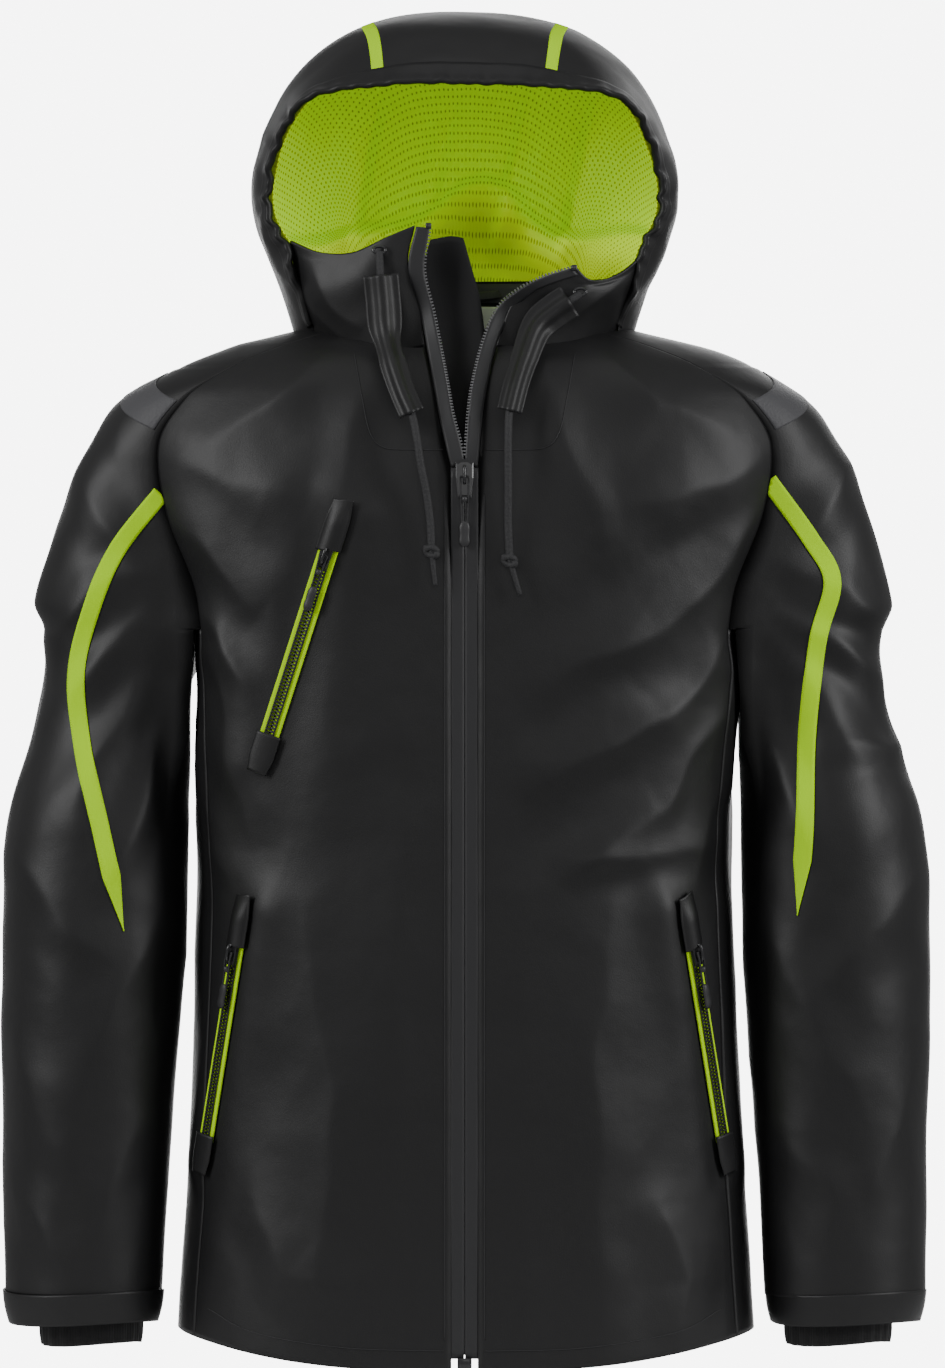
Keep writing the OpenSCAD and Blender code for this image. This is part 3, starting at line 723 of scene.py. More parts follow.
def back_panel(mats):
    heights = np.linspace(HEM, NECK, 190)[None, :]
    share = np.linspace(0, 1, 120)[:, None]
    a = seam_angle(heights)
    grid = body_grid(180 - a + 2 * a * share, heights, [], LEFT)
    half = grid.shape[0] // 2
    other = body_grid(180 - a + 2 * a * share, heights, [], RIGHT)
    grid[half:] = other[half:]
    obj = cloth("back", grid, mats["shell"], 1.1)
    fitted(obj, "back_panel")


# ---------------------------------------------------------------- sleeves

# each draped sleeve's surface, kept for what is laid on it
SLEEVE_SURFACE = {}


def sleeve_root(z, side):
    return points_of(side * ROOT_X, SIDE_Y, z - ROOT_DROP)


def head_at(h, z, side, lift=0.0):
    """The draped sleeve head, or points lifted off it."""
    head = shoulder_point(h, z, side)
    z = np.broadcast_to(z, head.shape[:-1])
    out = shared_out(head, z, unit(head - sleeve_root(z, side)), side)
    return drape(head, out, SLEEVE_FOLDS[side] + FOLDS) + out * lift


def sleeve_grids(side):
    heights = np.concatenate([np.linspace(ARMPIT, -75, 60)[:-1], np.linspace(-75, NECK, 30)])[None, :]
    head = head_at(np.linspace(-1, 1, 90)[:, None], heights, side)
    # the tube below the armpit
    rows = np.linspace(SLEEVE_END, ARMPIT, 150)[None, :]
    b = np.concatenate([np.linspace(0, OUTER_SHARE, 90), np.linspace(OUTER_SHARE, 1, 44)[1:-1]])[:, None]
    tube = sleeve_point(b, rows, side)
    z = np.broadcast_to(rows, tube.shape[:-1])
    xc, yc, _, _ = track(SLEEVE, z)
    axis = points_of(side * xc, yc, z)
    w = smooth(-z, -ARMPIT, 330)[..., None]
    out = unit((tube - sleeve_root(z, side)) * (1 - w) + (tube - axis) * w)
    out = shared_out(tube, z, out, side)
    moved = drape(tube, out, SLEEVE_FOLDS[side] + FOLDS)
    # the inside of the arm keeps clear of the body
    inner = 207 + 4 * smooth(-z, 262, 330)
    moved[..., 0] = side * np.maximum(side * moved[..., 0], inner)
    return head, moved


def sleeve(side, mats):
    word = word_for(side)
    head, tube = sleeve_grids(side)
    obj = skin(word + "_raglan_sleeve", [(head, False), (tube, True)], mats["shell"], 1.1, side == RIGHT)
    SLEEVE_SURFACE[side] = surface_tree([(head, False), (tube, True)])
    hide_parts(word + "_shoulder", word + "_sleeve")
    bend(obj)


def bend(obj):
    """Fabric that runs from the jacket into a sleeve: only its placement is baked into its mesh."""
    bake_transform(obj)


def strip_on(name, line, width, side, mat, lift, count, taper):
    """A welded strip on a sleeve's front along (across, height) points, narrowing over its last share."""
    line = np.array([[x, 0, z] for x, z in line], float)
    route = curve_points(line, count)
    way = unit(np.gradient(route, axis=0))
    cross = points_of(way[:, 2], 0.0, -way[:, 0])
    share = np.linspace(0, 1, count)
    half = np.maximum(width / 2 * np.minimum(1, (1 - share) / taper), 0.4)
    spread = np.linspace(-1, 1, 7)
    flat = route[None] + cross[None] * (spread[:, None] * half[None])[..., None]
    return cloth(name, on_sleeve_front(flat, side, lift), mat, 0.5, flip=True)


def on_sleeve_front(points, side, lift):
    """Drops points onto the front of the draped sleeve, seen along the depth axis."""
    tree = SLEEVE_SURFACE[side]
    out = np.empty(points.shape)
    for index in np.ndindex(points.shape[:-1]):
        x, _, z = points[index]
        hit, normal = straight_back(tree, x, z)
        if hit is None:
            hit, normal, _, _ = tree.find_nearest(Vector((x, -150, z)))
        if normal.y > 0:
            normal = -normal
        out[index] = np.array(hit) + np.array(normal) * lift
    return out


def surface_tree(grids):
    """A ray-castable copy of some grids, in millimetres."""
    verts = []
    faces = []
    for grid, closed in grids:
        faces += quads(grid, closed, len(verts))
        verts.extend(Vector(p) for p in grid.reshape(-1, 3))
    return BVHTree.FromPolygons(verts, faces)


# ---------------------------------------------------------------- cuffs


def cuffs(side, mats):
    """The turned sleeve hem and the soft inner cuff that shows below it."""
    word = word_for(side)
    body = word + "_sleeve_body"
    b = np.linspace(0, 2 * math.pi, 96, endpoint=False)[:, None]
    share = np.linspace(0, 1, 14)[None, :]
    wave = 1.6 * np.sin(3 * b + 1.1 * side) + 1.0 * np.sin(7 * b + 2)
    z = -768.5 - 24 * share + 1.5 * np.sin(2 * b)
    rx = 60.6 - 4.5 * share + wave * 0.5 * share + 0.9 * np.sin(math.pi * share)
    ry = 60.6 - 5.0 * share + wave * 0.5 * share
    grid = points_of(side * 293 + rx * np.sin(b), -108 - ry * np.cos(b), z)
    band = cloth(word + "_cuff", grid, mats["shell"], 1.6, closed=True)
    fitted(band, word + "_cuff_band", body)

    share = np.linspace(0, 1, 30)[None, :]
    z = -735 - 74 * share
    pucker = 0.7 * np.sin(22 * b) * smooth(share, 0.3, 1) + 1.3 * np.sin(4 * b + side)
    radius = 42 - 5.5 * share + pucker * smooth(share, 0.2, 1) + 1.2 * np.sin(9 * share)
    low = z + 1.6 * np.sin(b * 2)
    grid = points_of(side * 287 + radius * np.sin(b), -108 - radius * 0.94 * np.cos(b), low)
    inner = cloth(word + "_knit_cuff", grid, mats["knit"], 1.8, closed=True)
    fitted(inner, word + "_inner_cuff", body)


# ---------------------------------------------------------------- hood

# Arches of the hood from the brim back to the nape. Each runs from the crown down to the left foot.
ARCHES = [
    [(0, -172, 154), (62, -171, 152), (120, -160, 143), (144, -136, 106), (149, -125, 62),
     (133, -130, 24), (115, -118, -34)],
    [(0, -134, 195), (66, -131, 189), (123, -120, 157), (152, -102, 112), (160, -94, 64), (143, -98, 18),
     (122, -100, -38)],
    [(0, -84, 213), (72, -82, 205), (127, -76, 168), (155, -64, 116), (162, -56, 66), (146, -61, 14),
     (127, -77, -42)],
    [(0, -30, 214), (68, -30, 205), (121, -28, 168), (147, -20, 114), (152, -12, 62), (138, -27, 8),
     (128, -48, -45)],
    [(0, 18, 197), (60, 17, 189), (106, 14, 152), (130, 11, 102), (135, 6, 52), (128, -8, 2),
     (126, -20, -46)],
    [(0, 48, 152), (48, 46, 144), (86, 39, 114), (106, 30, 74), (112, 18, 34), (112, 4, -6),
     (112, -2, -44)],
    [(0, 52, 82), (42, 50, 78), (76, 42, 60), (94, 30, 36), (100, 20, 12), (100, 10, -14), (100, 6, -42)],
    [(0, 12, -26), (34, 13, -27), (60, 14, -29), (78, 14, -32), (88, 14, -35), (94, 12, -38),
     (98, 10, -42)],
]
# where the seams between the hood's centre and side panels lie, counted in points of an arch
STRIP_AT = 1.0


def hood_raw(u, t):
    """Points of the hood: u from -6 at the right foot over the crown to 6, t from brim 0 to nape 1."""
    u, t = np.broadcast_arrays(np.asarray(u, float), np.asarray(t, float))
    arches = np.array(ARCHES, float)
    rows = through(arches.reshape(len(arches), -1), t * (len(arches) - 1)).reshape(*t.shape, 7, 3)
    q = np.abs(u)
    ends = np.concatenate([rows[..., 1:2, :] * np.array([-1, 1, 1]), rows], -2)
    i = np.clip(np.floor(q).astype(int), 0, 5)
    f = (q - i)[..., None]

    def pick(k):
        k = np.clip(k, 0, 7)
        return np.take_along_axis(ends, k[..., None, None].repeat(3, -1), -2)[..., 0, :]

    p0, p1, p2 = pick(i), pick(i + 1), pick(i + 2)
    p3 = pick(np.minimum(i + 3, 7))
    p3 = np.where((i == 5)[..., None], 2 * p2 - p1, p3)
    p = 0.5 * (
        2 * p1
        + (p2 - p0) * f
        + (2 * p0 - 5 * p1 + 4 * p2 - p3) * f * f
        + (3 * p1 - p0 - 3 * p2 + p3) * f**3
    )
    return points_of(np.where(u < 0, -p[..., 0], p[..., 0]), p[..., 1], p[..., 2])


HOOD_FOLDS = [
    ([(-164, 95), (-152, 60), (-150, 20)], 10, 4),
    ([(-158, 130), (-140, 80), (-146, 30)], 9, 3),
    ([(-150, 20), (-122, 0), (-100, -25)], 9, 4),
    ([(-155, 45), (-130, 18), (-95, 5)], 8, 3),
    ([(160, 100), (150, 60), (150, 20)], 10, 4),
    ([(150, 30), (128, 5), (110, -22)], 9, 4),
    ([(158, 60), (140, 22), (105, -6)], 8, 3),
    ([(-120, 175), (-90, 190), (-40, 200)], 12, 2.5),
    ([(120, 172), (90, 185), (30, 180)], 12, 2.5),
    ([(-40, 160), (10, 175), (60, 165)], 10, 2),
]


def hood_point(u, t, depth=0.0):
    """The draped hood. depth moves the point inward, for the cord, or outward for the strips."""
    u, t = np.broadcast_arrays(np.asarray(u, float), np.asarray(t, float))
    p = hood_raw(u, t)
    out = unit(p - HOOD_CENTRE)
    # the opening's edge is gathered on its cord, most at the sides
    side = smooth(np.abs(u), 1.6, 3.2)
    edge = np.exp(-t / 0.05)
    gather = np.sin(u * 13 + 1.3 * np.sin(u * 3)) * (0.4 + 1.3 * side) * edge
    moved = drape(p, out, HOOD_FOLDS, amount=0.75, seed=11.0)
    return moved + out * (gather - depth)[..., None]


def fitted_hood(obj, node):
    """For a piece that runs from the jacket into the hood: bakes its placement into its mesh and hides its
    CAD node.
    """
    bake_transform(obj)
    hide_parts(node)


def hood(mats):
    rows = np.concatenate([np.linspace(0, 0.06, 9)[:-1], np.linspace(0.06, 1, 72)])[None, :]
    for name, lo, hi, count in (
        ("hood_right", -6, -STRIP_AT, 90),
        ("hood_centre", -STRIP_AT, STRIP_AT, 44),
        ("hood_left", STRIP_AT, 6, 90),
    ):
        grid = hood_point(np.linspace(lo, hi, count)[:, None], rows)
        obj = cloth(name, grid, mats["shell"], 1.2, flip=True)
        fitted_hood(obj, name + "_panel")
    # the cased rim: a doubled band turned over the edge
    u = np.linspace(-5.9, 5.9, 420)[:, None]
    turn = np.linspace(0, 1, 12)[None, :]
    t = np.abs(turn - 0.45) * 0.085
    depth = np.where(turn > 0.45, -1.1, 3.4) + 0.9 * np.sin(u * 25 + np.sin(u * 5)) * np.exp(-t / 0.02)
    roll = np.exp(-((turn - 0.45) ** 2) / 0.02)
    grid = hood_point(u, t) + unit(hood_raw(u, t) - HOOD_CENTRE) * (-depth)[..., None]
    grid[..., 1] -= 2.2 * roll * smooth(-grid[..., 1], 100, 140)
    rim = cloth("hood_rim_casing", grid, mats["shell"], 0.8, flip=True)
    fitted_hood(rim, "hood_rim")
    strips = []
    for side in (RIGHT, LEFT):
        mid = side * (STRIP_AT + 0.04)
        u = np.linspace(mid - 0.075, mid + 0.075, 5)[:, None]
        rows = np.linspace(0.012, 0.9, 90)[None, :]
        grid = hood_point(u, rows, -0.9)
        strips.append(cloth("strip", grid, mats["lime"], 0.5, flip=True))
    strip = joined("hood_lime_strips", strips)
    fitted_hood(strip, "hood_strips")
    # the cord hidden in the casing
    u = np.linspace(-5.6, 5.6, 120)
    path = hood_point(u, np.full(120, 0.022), 2.2)
    cord = tube_mesh("hood_hidden_cord", path, 1.6, mats["cord"], sides=8)
    fitted_hood(cord, "hood_cord")


def lining(mats):
    """The mesh lining: it follows the hood, slumps behind the neck and is pleated along its seams."""
    u = np.linspace(-5.85, 5.85, 200)[:, None]
    t = np.linspace(0.03, 0.99, 130)[None, :]
    p = hood_raw(u, t)
    # rows of holes run level round the middle of the hood
    level = np.repeat(hood_raw(u, np.full((1, 1), 0.4)), t.shape[1], 1)
    level = level + points_of(0.0, 0.0, t * 330)
    out = unit(p - HOOD_CENTRE)
    p = drape(p, out, HOOD_FOLDS[:7], amount=0.5, seed=11.0) - out * 7
    x, y, z = p[..., 0], p[..., 1], p[..., 2]
    behind = smooth(y, -75, -20)
    bent = x + 8 * wander(p, 60, 70)
    ridge = 50 + 44 * np.exp(-(((bent - 10) / 52) ** 2)) + 5 * np.sin(bent / 16)
    slump = smooth(ridge - z, -3, 16) * (1 - 0.9 * smooth(ridge - z, 22, 75))
    p[..., 1] -= behind * slump * 50
    p[..., 2] += behind * slump * 4
    # pleats running down from the crown, each steep on the side of the middle
    reach = smooth(y, -120, -70) * smooth(z, 20, 60) * smooth(-z, -185, -120)
    for at, width, size in ((-76, 46, 24), (-18, 26, 10), (30, 30, 13), (84, 42, 20)):
        across = np.sign(at) * (x - at - 0.22 * (z - 90))
        p[..., 1] -= size * smooth(across, -4, 6) * (1 - smooth(across, 6, width)) * reach
    p += out * (wander(p, 34, 91) * 2.6)[..., None]
    obj = cloth("mesh_lining", p, mats["mesh"], 0.8, flip=True, uncreased=level)
    fitted_hood(obj, "hood_lining")


# ---------------------------------------------------------------- collar and neck


def patch(bottom, top, start, end, nu, nv):
    """A sheet filled in between four edge curves, each given by a few points."""
    u = np.linspace(0, 1, nu)
    v = np.linspace(0, 1, nv)
    b = through(bottom, u * (len(bottom) - 1))
    t = through(top, u * (len(top) - 1))
    s = through(start, v * (len(start) - 1))
    e = through(end, v * (len(end) - 1))
    u = u[:, None, None]
    v = v[None, :, None]
    ruled = b[:, None] * (1 - v) + t[:, None] * v
    other = s[None] * (1 - u) + e[None] * u
    corners = (
        b[0] * (1 - u) * (1 - v) + b[-1] * u * (1 - v) + t[0] * (1 - u) * v + t[-1] * u * v
    )
    return ruled + other - corners


COLLAR_FOLDS = [
    ([(-120, 20), (-100, 0), (-75, -30)], 8, 4),
    ([(-135, 5), (-110, -12), (-90, -34)], 8, 3),
    ([(-48, 30), (-50, 0), (-48, -30)], 6, 2.5),
    ([(128, 12), (105, -8), (80, -30)], 8, 4),
    ([(110, 5), (85, -12), (62, -32)], 7, 3),
]


def collars(mats):
    right = patch(
        [(-115, -118, -34), (-104, -130, -42), (-86, -146, -50), (-60, -160, -52), (-31, -166, -46)],
        [(-134, -126, 36), (-112, -143, 27), (-86, -156, 26), (-60, -165, 37), (-38, -167, 46)],
        [(-115, -118, -34), (-128, -120, 0), (-134, -126, 36)],
        [(-31, -166, -46), (-35, -163, -8), (-43, -166, 18), (-38, -167, 46)],
        80, 50,
    )
    left = patch(
        [(24, -166, -46), (56, -162, -52), (84, -148, -50), (104, -130, -42), (115, -118, -34)],
        [(86, -168, 13), (95, -163, 5), (106, -154, 5), (122, -142, 12), (136, -128, 24)],
        [(24, -166, -46), (36, -166, -14), (54, -170, 3), (86, -168, 13)],
        [(115, -118, -34), (128, -120, -4), (136, -128, 24)],
        80, 50,
    )
    for side, grid in ((RIGHT, right), (LEFT, left)):
        word = word_for(side)
        out = unit(grid - np.array([0, -60, -10.0]))
        u = np.linspace(0, 1, grid.shape[0])[:, None]
        v = np.linspace(0, 1, grid.shape[1])[None, :]
        bulge = 7 * np.sin(np.pi * u) * np.sin(np.pi * v)
        moved = drape(grid, out, COLLAR_FOLDS, amount=0.8, seed=11.0)
        edge = (np.sin(np.pi * u) * np.sin(np.pi * np.clip(v + 0.1, 0, 1)))[..., None] ** 0.4
        grid = grid + (moved - grid) * edge + out * bulge[..., None]
        obj = cloth(word + "_collar_front", grid, mats["shell"], 2.2)
        fitted(obj, word + "_collar")
    # back collar, standing inside the hood
    a = np.linspace(66, 294, 90)[:, None]
    z = np.linspace(-32, 11, 16)[None, :]
    grid = torso_point(a, -30.0 + 0 * z) * np.array([1, 1, 0])
    grid = grid * np.array([0.985, 1, 1]) + points_of(0.0, -1.5 + 0.02 * z, z)
    obj = cloth("standing_collar", grid, mats["inner"], 2.0)
    fitted(obj, "back_collar")
    a = np.linspace(140, 220, 40)[:, None]
    z = np.linspace(-6, 9, 5)[None, :]
    grid = torso_point(a, -30.0 + 0 * z) * np.array([0.985, 1, 0])
    grid = grid + points_of(0.0, -5.2, z)
    obj = cloth("neck_tape_strip", grid, mats["neck_tape"], 0.8)
    fitted(obj, "neck_tape")


def loop_and_label(mats):
    half = [(27, -0.5, 2), (26, -3.2, 1), (14, -4.4, -0.5)]
    path = [(-x, y, z) for x, y, z in half] + [(0, -4.8, -1)] + half[::-1]
    loop = tube_mesh("neck_loop", curve_points(path, 40), 3.4, mats["neck_tape"], sides=8, flat=0.16)
    fitted(loop, "hanger_loop")
    x = np.linspace(12, 27, 8)[:, None]
    z = np.linspace(-27, -9, 10)[None, :]
    grid = points_of(x, -3.5 - 1.2 * np.sin((z + 27) / 9), z)
    label = cloth("blank_label", grid, mats["label"], 0.3)
    fitted(label, "size_label")


def inner_flap(mats):
    """The flap behind the zip, standing up behind the open collar."""
    heights = np.concatenate([np.linspace(-812, -150, 40)[:-1], np.linspace(-150, 36, 40)])[None, :]
    # height, depth, right edge, left edge
    rows = [
        [-812, -205, -26, 8],
        [-150, -203, -26, 8],
        [-120, -194, -26, 9],
        [-88, -182, -27, 12],
        [-60, -168, -28, 15],
        [-40, -157, -30, 15],
        [-10, -150, -32, 12],
        [12, -148, -32, 6],
        [36, -150, -26, -1],
    ]
    y, right, left = track(rows, heights)
    u = np.linspace(0, 1, 16)[:, None]
    x = right + (left - right) * u
    depth = y + 2.5 * np.sin(u * 5 + heights / 40) + 2 * np.sin(heights / 23)
    top = heights + 2.5 * np.sin(u * 2.6) * smooth(heights, 0, 36)
    grid = points_of(x, depth, top)
    obj = cloth("storm_flap_sheet", grid, mats["inner"], 1.2)
    fitted(obj, "storm_flap")


def hem_tape(mats):
    pieces = []
    for side in (RIGHT, LEFT):
        a = np.linspace(4 * side, 180 * side, 160)[:, None]
        z = np.linspace(-822, -803, 5)[None, :]
        p = torso_point(a, z)
        out = torso_out(p, np.broadcast_to(z, p.shape[:-1]))
        pieces.append(cloth("hem", p - out * 2.4, mats["inner"], 0.7, flip=side == RIGHT))
    obj = joined("hem_facing_tape", pieces)
    fitted(obj, "hem_facing")


def pocket_bags(mats):
    """Mesh bags behind the pockets, hanging just inside the panels."""
    for name, a0, a1, z0, z1 in (
        ("chest", -52, -16, -325, -180),
        ("right", -76, -34, -722, -500),
        ("left", 34, 76, -722, -500),
    ):
        side = LEFT if name == "left" else RIGHT
        angles = np.linspace(a0, a1, 30)[:, None]
        heights = np.linspace(z0, z1, 40)[None, :]
        grid = body_grid(angles, heights, FOLDS, side)
        p = torso_point(angles, heights)
        out = torso_out(p, np.broadcast_to(heights, p.shape[:-1]))
        obj = cloth(name + "_bag", grid - out * 4.5, mats["pocket"], 0.8)
        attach(obj, "jacket")
        node = "chest_pocket_bag" if name == "chest" else name + "_pocket_bag"
        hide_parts(node)


# ---------------------------------------------------------------- zips

# height at which the main slider's top meets the teeth, and the routes of the open zip above it
MAIN_TOP = -137.0
MAIN_PITCH = 2.6
RIGHT_TEETH = [(-0.6, -214, -134), (-3, -212, -122), (-9, -205, -100), (-13, -193, -77), (-18, -177, -50),
               (-24, -167, -20), (-31, -167, 12), (-27, -169, 44)]
LEFT_TEETH = [(0.6, -214, -134), (1.5, -213, -122), (3, -206, -100), (6, -194, -77), (14, -176, -44),
              (25, -167, -18), (39, -172, -5), (58, -174, 5), (82, -170, 13)]
RIGHT_EDGE = [(-10, -213, -140), (-14, -211, -124), (-19, -203, -102), (-23, -191, -78), (-28, -175, -51),
              (-34, -163, -20), (-43, -166, 14), (-37, -168, 45)]
LEFT_EDGE = [(10, -213, -140), (11.5, -211, -124), (13.5, -203, -102), (17, -191, -78), (24, -173, -46),
             (35, -163, -22), (50, -168, -7), (66, -171, 1), (87, -167, 8)]


def ribbon(name, edge_a, edge_b, mat, thick, flip, lift=(0, 0, 0)):
    """A tape between two edges."""
    a = curve_points(edge_a, 90)
    b = curve_points(edge_b, 90)
    u = np.linspace(0, 1, 6)[:, None, None]
    grid = a[None] * (1 - u) + b[None] * u + np.asarray(lift, float)
    return cloth(name, grid, mat, thick, flip=flip)


def teeth_along(name, path, toward, size, pitch, mat, start):
    """Moulded teeth along a path, each reaching along toward. size is reach, depth and width."""
    path = np.asarray(path, float)
    far = distances(path)
    at = np.arange(start, far[-1], pitch)
    centre = read_at(at, far, path)
    way = unit(read_at(at + 0.5, far, path) - read_at(at - 0.5, far, path))
    toward = np.broadcast_to(np.asarray(toward, float), way.shape)
    reach = unit(toward - way * np.sum(toward * way, -1, keepdims=True))
    face = np.cross(reach, way)
    # a tooth's foot, waist and head, each as reach, half depth and half width
    shape = np.array(
        [
            [x, y * depth, z * width]
            for x, depth, width in ((0, 1, 1), (0.7, 0.8, 0.62), (1, 0.6, 0.8))
            for y, z in ((-1, -1), (1, -1), (1, 1), (-1, 1))
        ],
        float,
    )
    shape *= np.array([size[0], size[1] / 2, size[2] / 2])
    verts = (
        centre[:, None]
        + reach[:, None] * shape[None, :, 0:1]
        + face[:, None] * shape[None, :, 1:2]
        + way[:, None] * shape[None, :, 2:3]
    )
    faces = []
    for n in range(len(at)):
        k = n * 12
        faces.append([k, k + 1, k + 2, k + 3])
        for low in (0, 4):
            for s in range(4):
                t = (s + 1) % 4
                faces.append([k + low + s, k + low + 4 + s, k + low + 4 + t, k + low + t])
        faces.append([k + 11, k + 10, k + 9, k + 8])
    obj = make_object(name, verts.reshape(-1, 3), faces, mat)
    obj.data.polygons.foreach_set("use_smooth", [False] * len(obj.data.polygons))
    return obj


def main_zip(mats):
    for side, teeth, edge in ((RIGHT, RIGHT_TEETH, RIGHT_EDGE), (LEFT, LEFT_TEETH, LEFT_EDGE)):
        word = word_for(side)
        inner = [(side * 0.35, -214.6, z) for z in (-814, -480, -140)]
        outer = [(side * 10.4, -214.9, z) for z in (-814, -480, -140)]
        parts = [
            ribbon("tape", inner, outer, mats["tape"], 0.8, side == RIGHT),
            ribbon("tape", teeth, edge, mats["tape"], 0.8, side == RIGHT, lift=(0, -0.8, 0)),
        ]
        tape = joined(word + "_main_tape", parts)
        fitted(tape, word + "_zip_tape")
        path = curve_points(teeth, 200)
        straight = np.array([[side * 2.0, -212.6, z] for z in np.linspace(-808, -136, 60)])
        loose = path + np.array([side * 0.5, 0.4, 0])
        # the two rows stand half a pitch apart, so that they mesh
        start = 0 if side == LEFT else MAIN_PITCH / 2
        parts = [
            teeth_along("row", straight, (-side, 0, 0), (2.4, 1.6, 1.5), MAIN_PITCH, mats["teeth"], start),
            teeth_along("row", loose, (-side, 0, 0.001), (2.3, 2.2, 1.5), MAIN_PITCH, mats["teeth"], 4),
            tube_mesh("bead", path + np.array([side * 0.6, 0.4, 0]), 0.9, mats["teeth"], sides=6),
        ]
        rows = joined(word + "_main_teeth", parts)
        fitted(rows, word + "_zip_teeth")
    parts = [
        block("stop", (0, -214.7, -817.5), (11, 2.6, 8), mats["plastic"], 1.0),
        block("stop", (-27.5, -169.5, 45.5), (4.4, 3.4, 4.4), mats["plastic"], 0.8),
        block("stop", (83.5, -170.5, 13.5), (4.4, 3.4, 4.4), mats["plastic"], 0.8),
    ]
    stops = joined("main_stops", parts)
    fitted(stops, "zip_stops")


def zip_axes(top, way, out):
    """Axes of a pocket zip: across, inward and up it."""
    top = np.asarray(top, float)
    up = -unit(np.asarray(way, float))
    inward = unit(np.cross(up, np.cross(-np.asarray(out, float), up)))
    return top, np.stack([np.cross(inward, up), inward, up])


POCKETS = {
    "chest": zip_axes((-101, -212.5, -195), (-50, 20, -155), (-0.279, -0.96, 0)),
    "right": zip_axes((-172.8, -176.8, -496), (-26, 26.6, -160), (-0.748, -0.664, 0)),
    "left": zip_axes((172.8, -176.8, -496), (26, 26.6, -160), (0.748, -0.664, 0)),
}
ZIP_LENGTH = 160.0
POCKET_PITCH = 2.7


def placed(name, points):
    """Points given in a pocket zip's own axes, put in the jacket's frame."""
    top, axes = POCKETS[name]
    return top + np.asarray(points, float) @ axes


def seat_zips(p, base):
    """Lets the panel rise to meet the zips, and keeps folds away from them."""
    for top, axes in POCKETS.values():
        local = (base - top) @ axes.T
        beyond = np.maximum(np.maximum(local[..., 2] - 22, -ZIP_LENGTH - 20 - local[..., 2]), 0)
        aside = np.maximum(np.abs(local[..., 0]) - 9, 0)
        w = np.exp(-((beyond / 22) ** 2) - (aside / 20) ** 2) * (np.abs(local[..., 1]) < 40)
        flat = base + axes[1] * (2.6 - local[..., 1])[..., None]
        p = p * (1 - w[..., None]) + flat * w[..., None]
    return p


def zip_slider(name, top, axes, w, h, body, node, mats):
    """A moulded slider: a shaped plate and an arched bridge. top is its upper edge on the chain."""
    flank = [(0.38, -1.0), (0.5, -0.45), (0.5, -0.02), (0.2, 0.06)]
    outline = [(-x, z) for x, z in flank[2::-1]] + flank + [(-0.2, 0.06)]
    verts = []
    for y, grow in ((0.0, 1.0), (-1.3, 1.0), (-1.9, 0.84)):
        verts += [(x * w * grow, y, (z + 0.5) * h * grow - 0.5 * h) for x, z in outline]
    n = len(outline)
    faces = [list(range(n))[::-1], [2 * n + k for k in range(n)]]
    for layer in range(2):
        for k in range(n):
            m = (k + 1) % n
            faces.append([layer * n + k, layer * n + m, (layer + 1) * n + m, (layer + 1) * n + k])
    plate = make_object(name, top + np.array(verts, float) @ axes, faces, mats["plastic"])
    plate.data.polygons.foreach_set("use_smooth", [False] * len(plate.data.polygons))
    mid = -0.2 * h - 4.5
    rise = [(-1.6, 6.4), (-4.4, 5.6), (-5.6, 3.2)]
    arch = [(0, y, mid + z) for y, z in rise] + [(0, -5.8, mid)] + [(0, y, mid - z) for y, z in rise[::-1]]
    arch = top + curve_points(arch, 24) @ axes
    bridge = tube_mesh("bridge", arch, 1.3, mats["plastic"], sides=8, out=axes[0])
    obj = joined(name, [plate, bridge])
    fitted(obj, node, body)


def zip_pull(name, pivot, axes, loop, tip, w, body, node, mats):
    """A cord loop through the bridge with a soft moulded tip. pivot is on the hinge line."""
    route = []
    for k in range(9):
        a = math.pi * k / 8
        route.append((-w / 2 * math.cos(a), 0.0, 0.15 * math.sin(a)))
    left = [(-w / 2 * (1 - 0.35 * k / 6), -0.3 - 0.5 * math.sin(k), -loop * k / 6) for k in range(6, 0, -1)]
    right = [(w / 2 * (1 - 0.35 * k / 6), -0.3 - 0.5 * math.sin(k), -loop * k / 6) for k in range(1, 7)]
    path = pivot + curve_points(left + route + right, 90) @ axes
    cord = tube_mesh("loop", path, 0.75, mats["cord"], sides=8, out=axes[1])
    band = pivot + np.array([(0, -0.4, -loop * 0.42), (0, -0.4, -loop * 0.42 - 4)]) @ axes
    wrap = tube_mesh("wrap", band, 2.3, mats["pull"], sides=12, out=axes[1])
    z = np.linspace(-loop + 2, -loop - tip, 12)
    radius = (w / 2 + 0.9) * np.array([0.55, 0.8, 0.95, 1.0, 0.98, 0.94, 0.92, 0.94, 1.0, 1.0, 0.85, 0.4])
    middle = pivot + points_of(0.0, -0.4, z) @ axes
    grip = tube_mesh("grip", middle, radius, mats["pull"], sides=16, flat=0.4, out=axes[1])
    obj = joined(name, [grip, cord, wrap])
    fitted(obj, node, body)


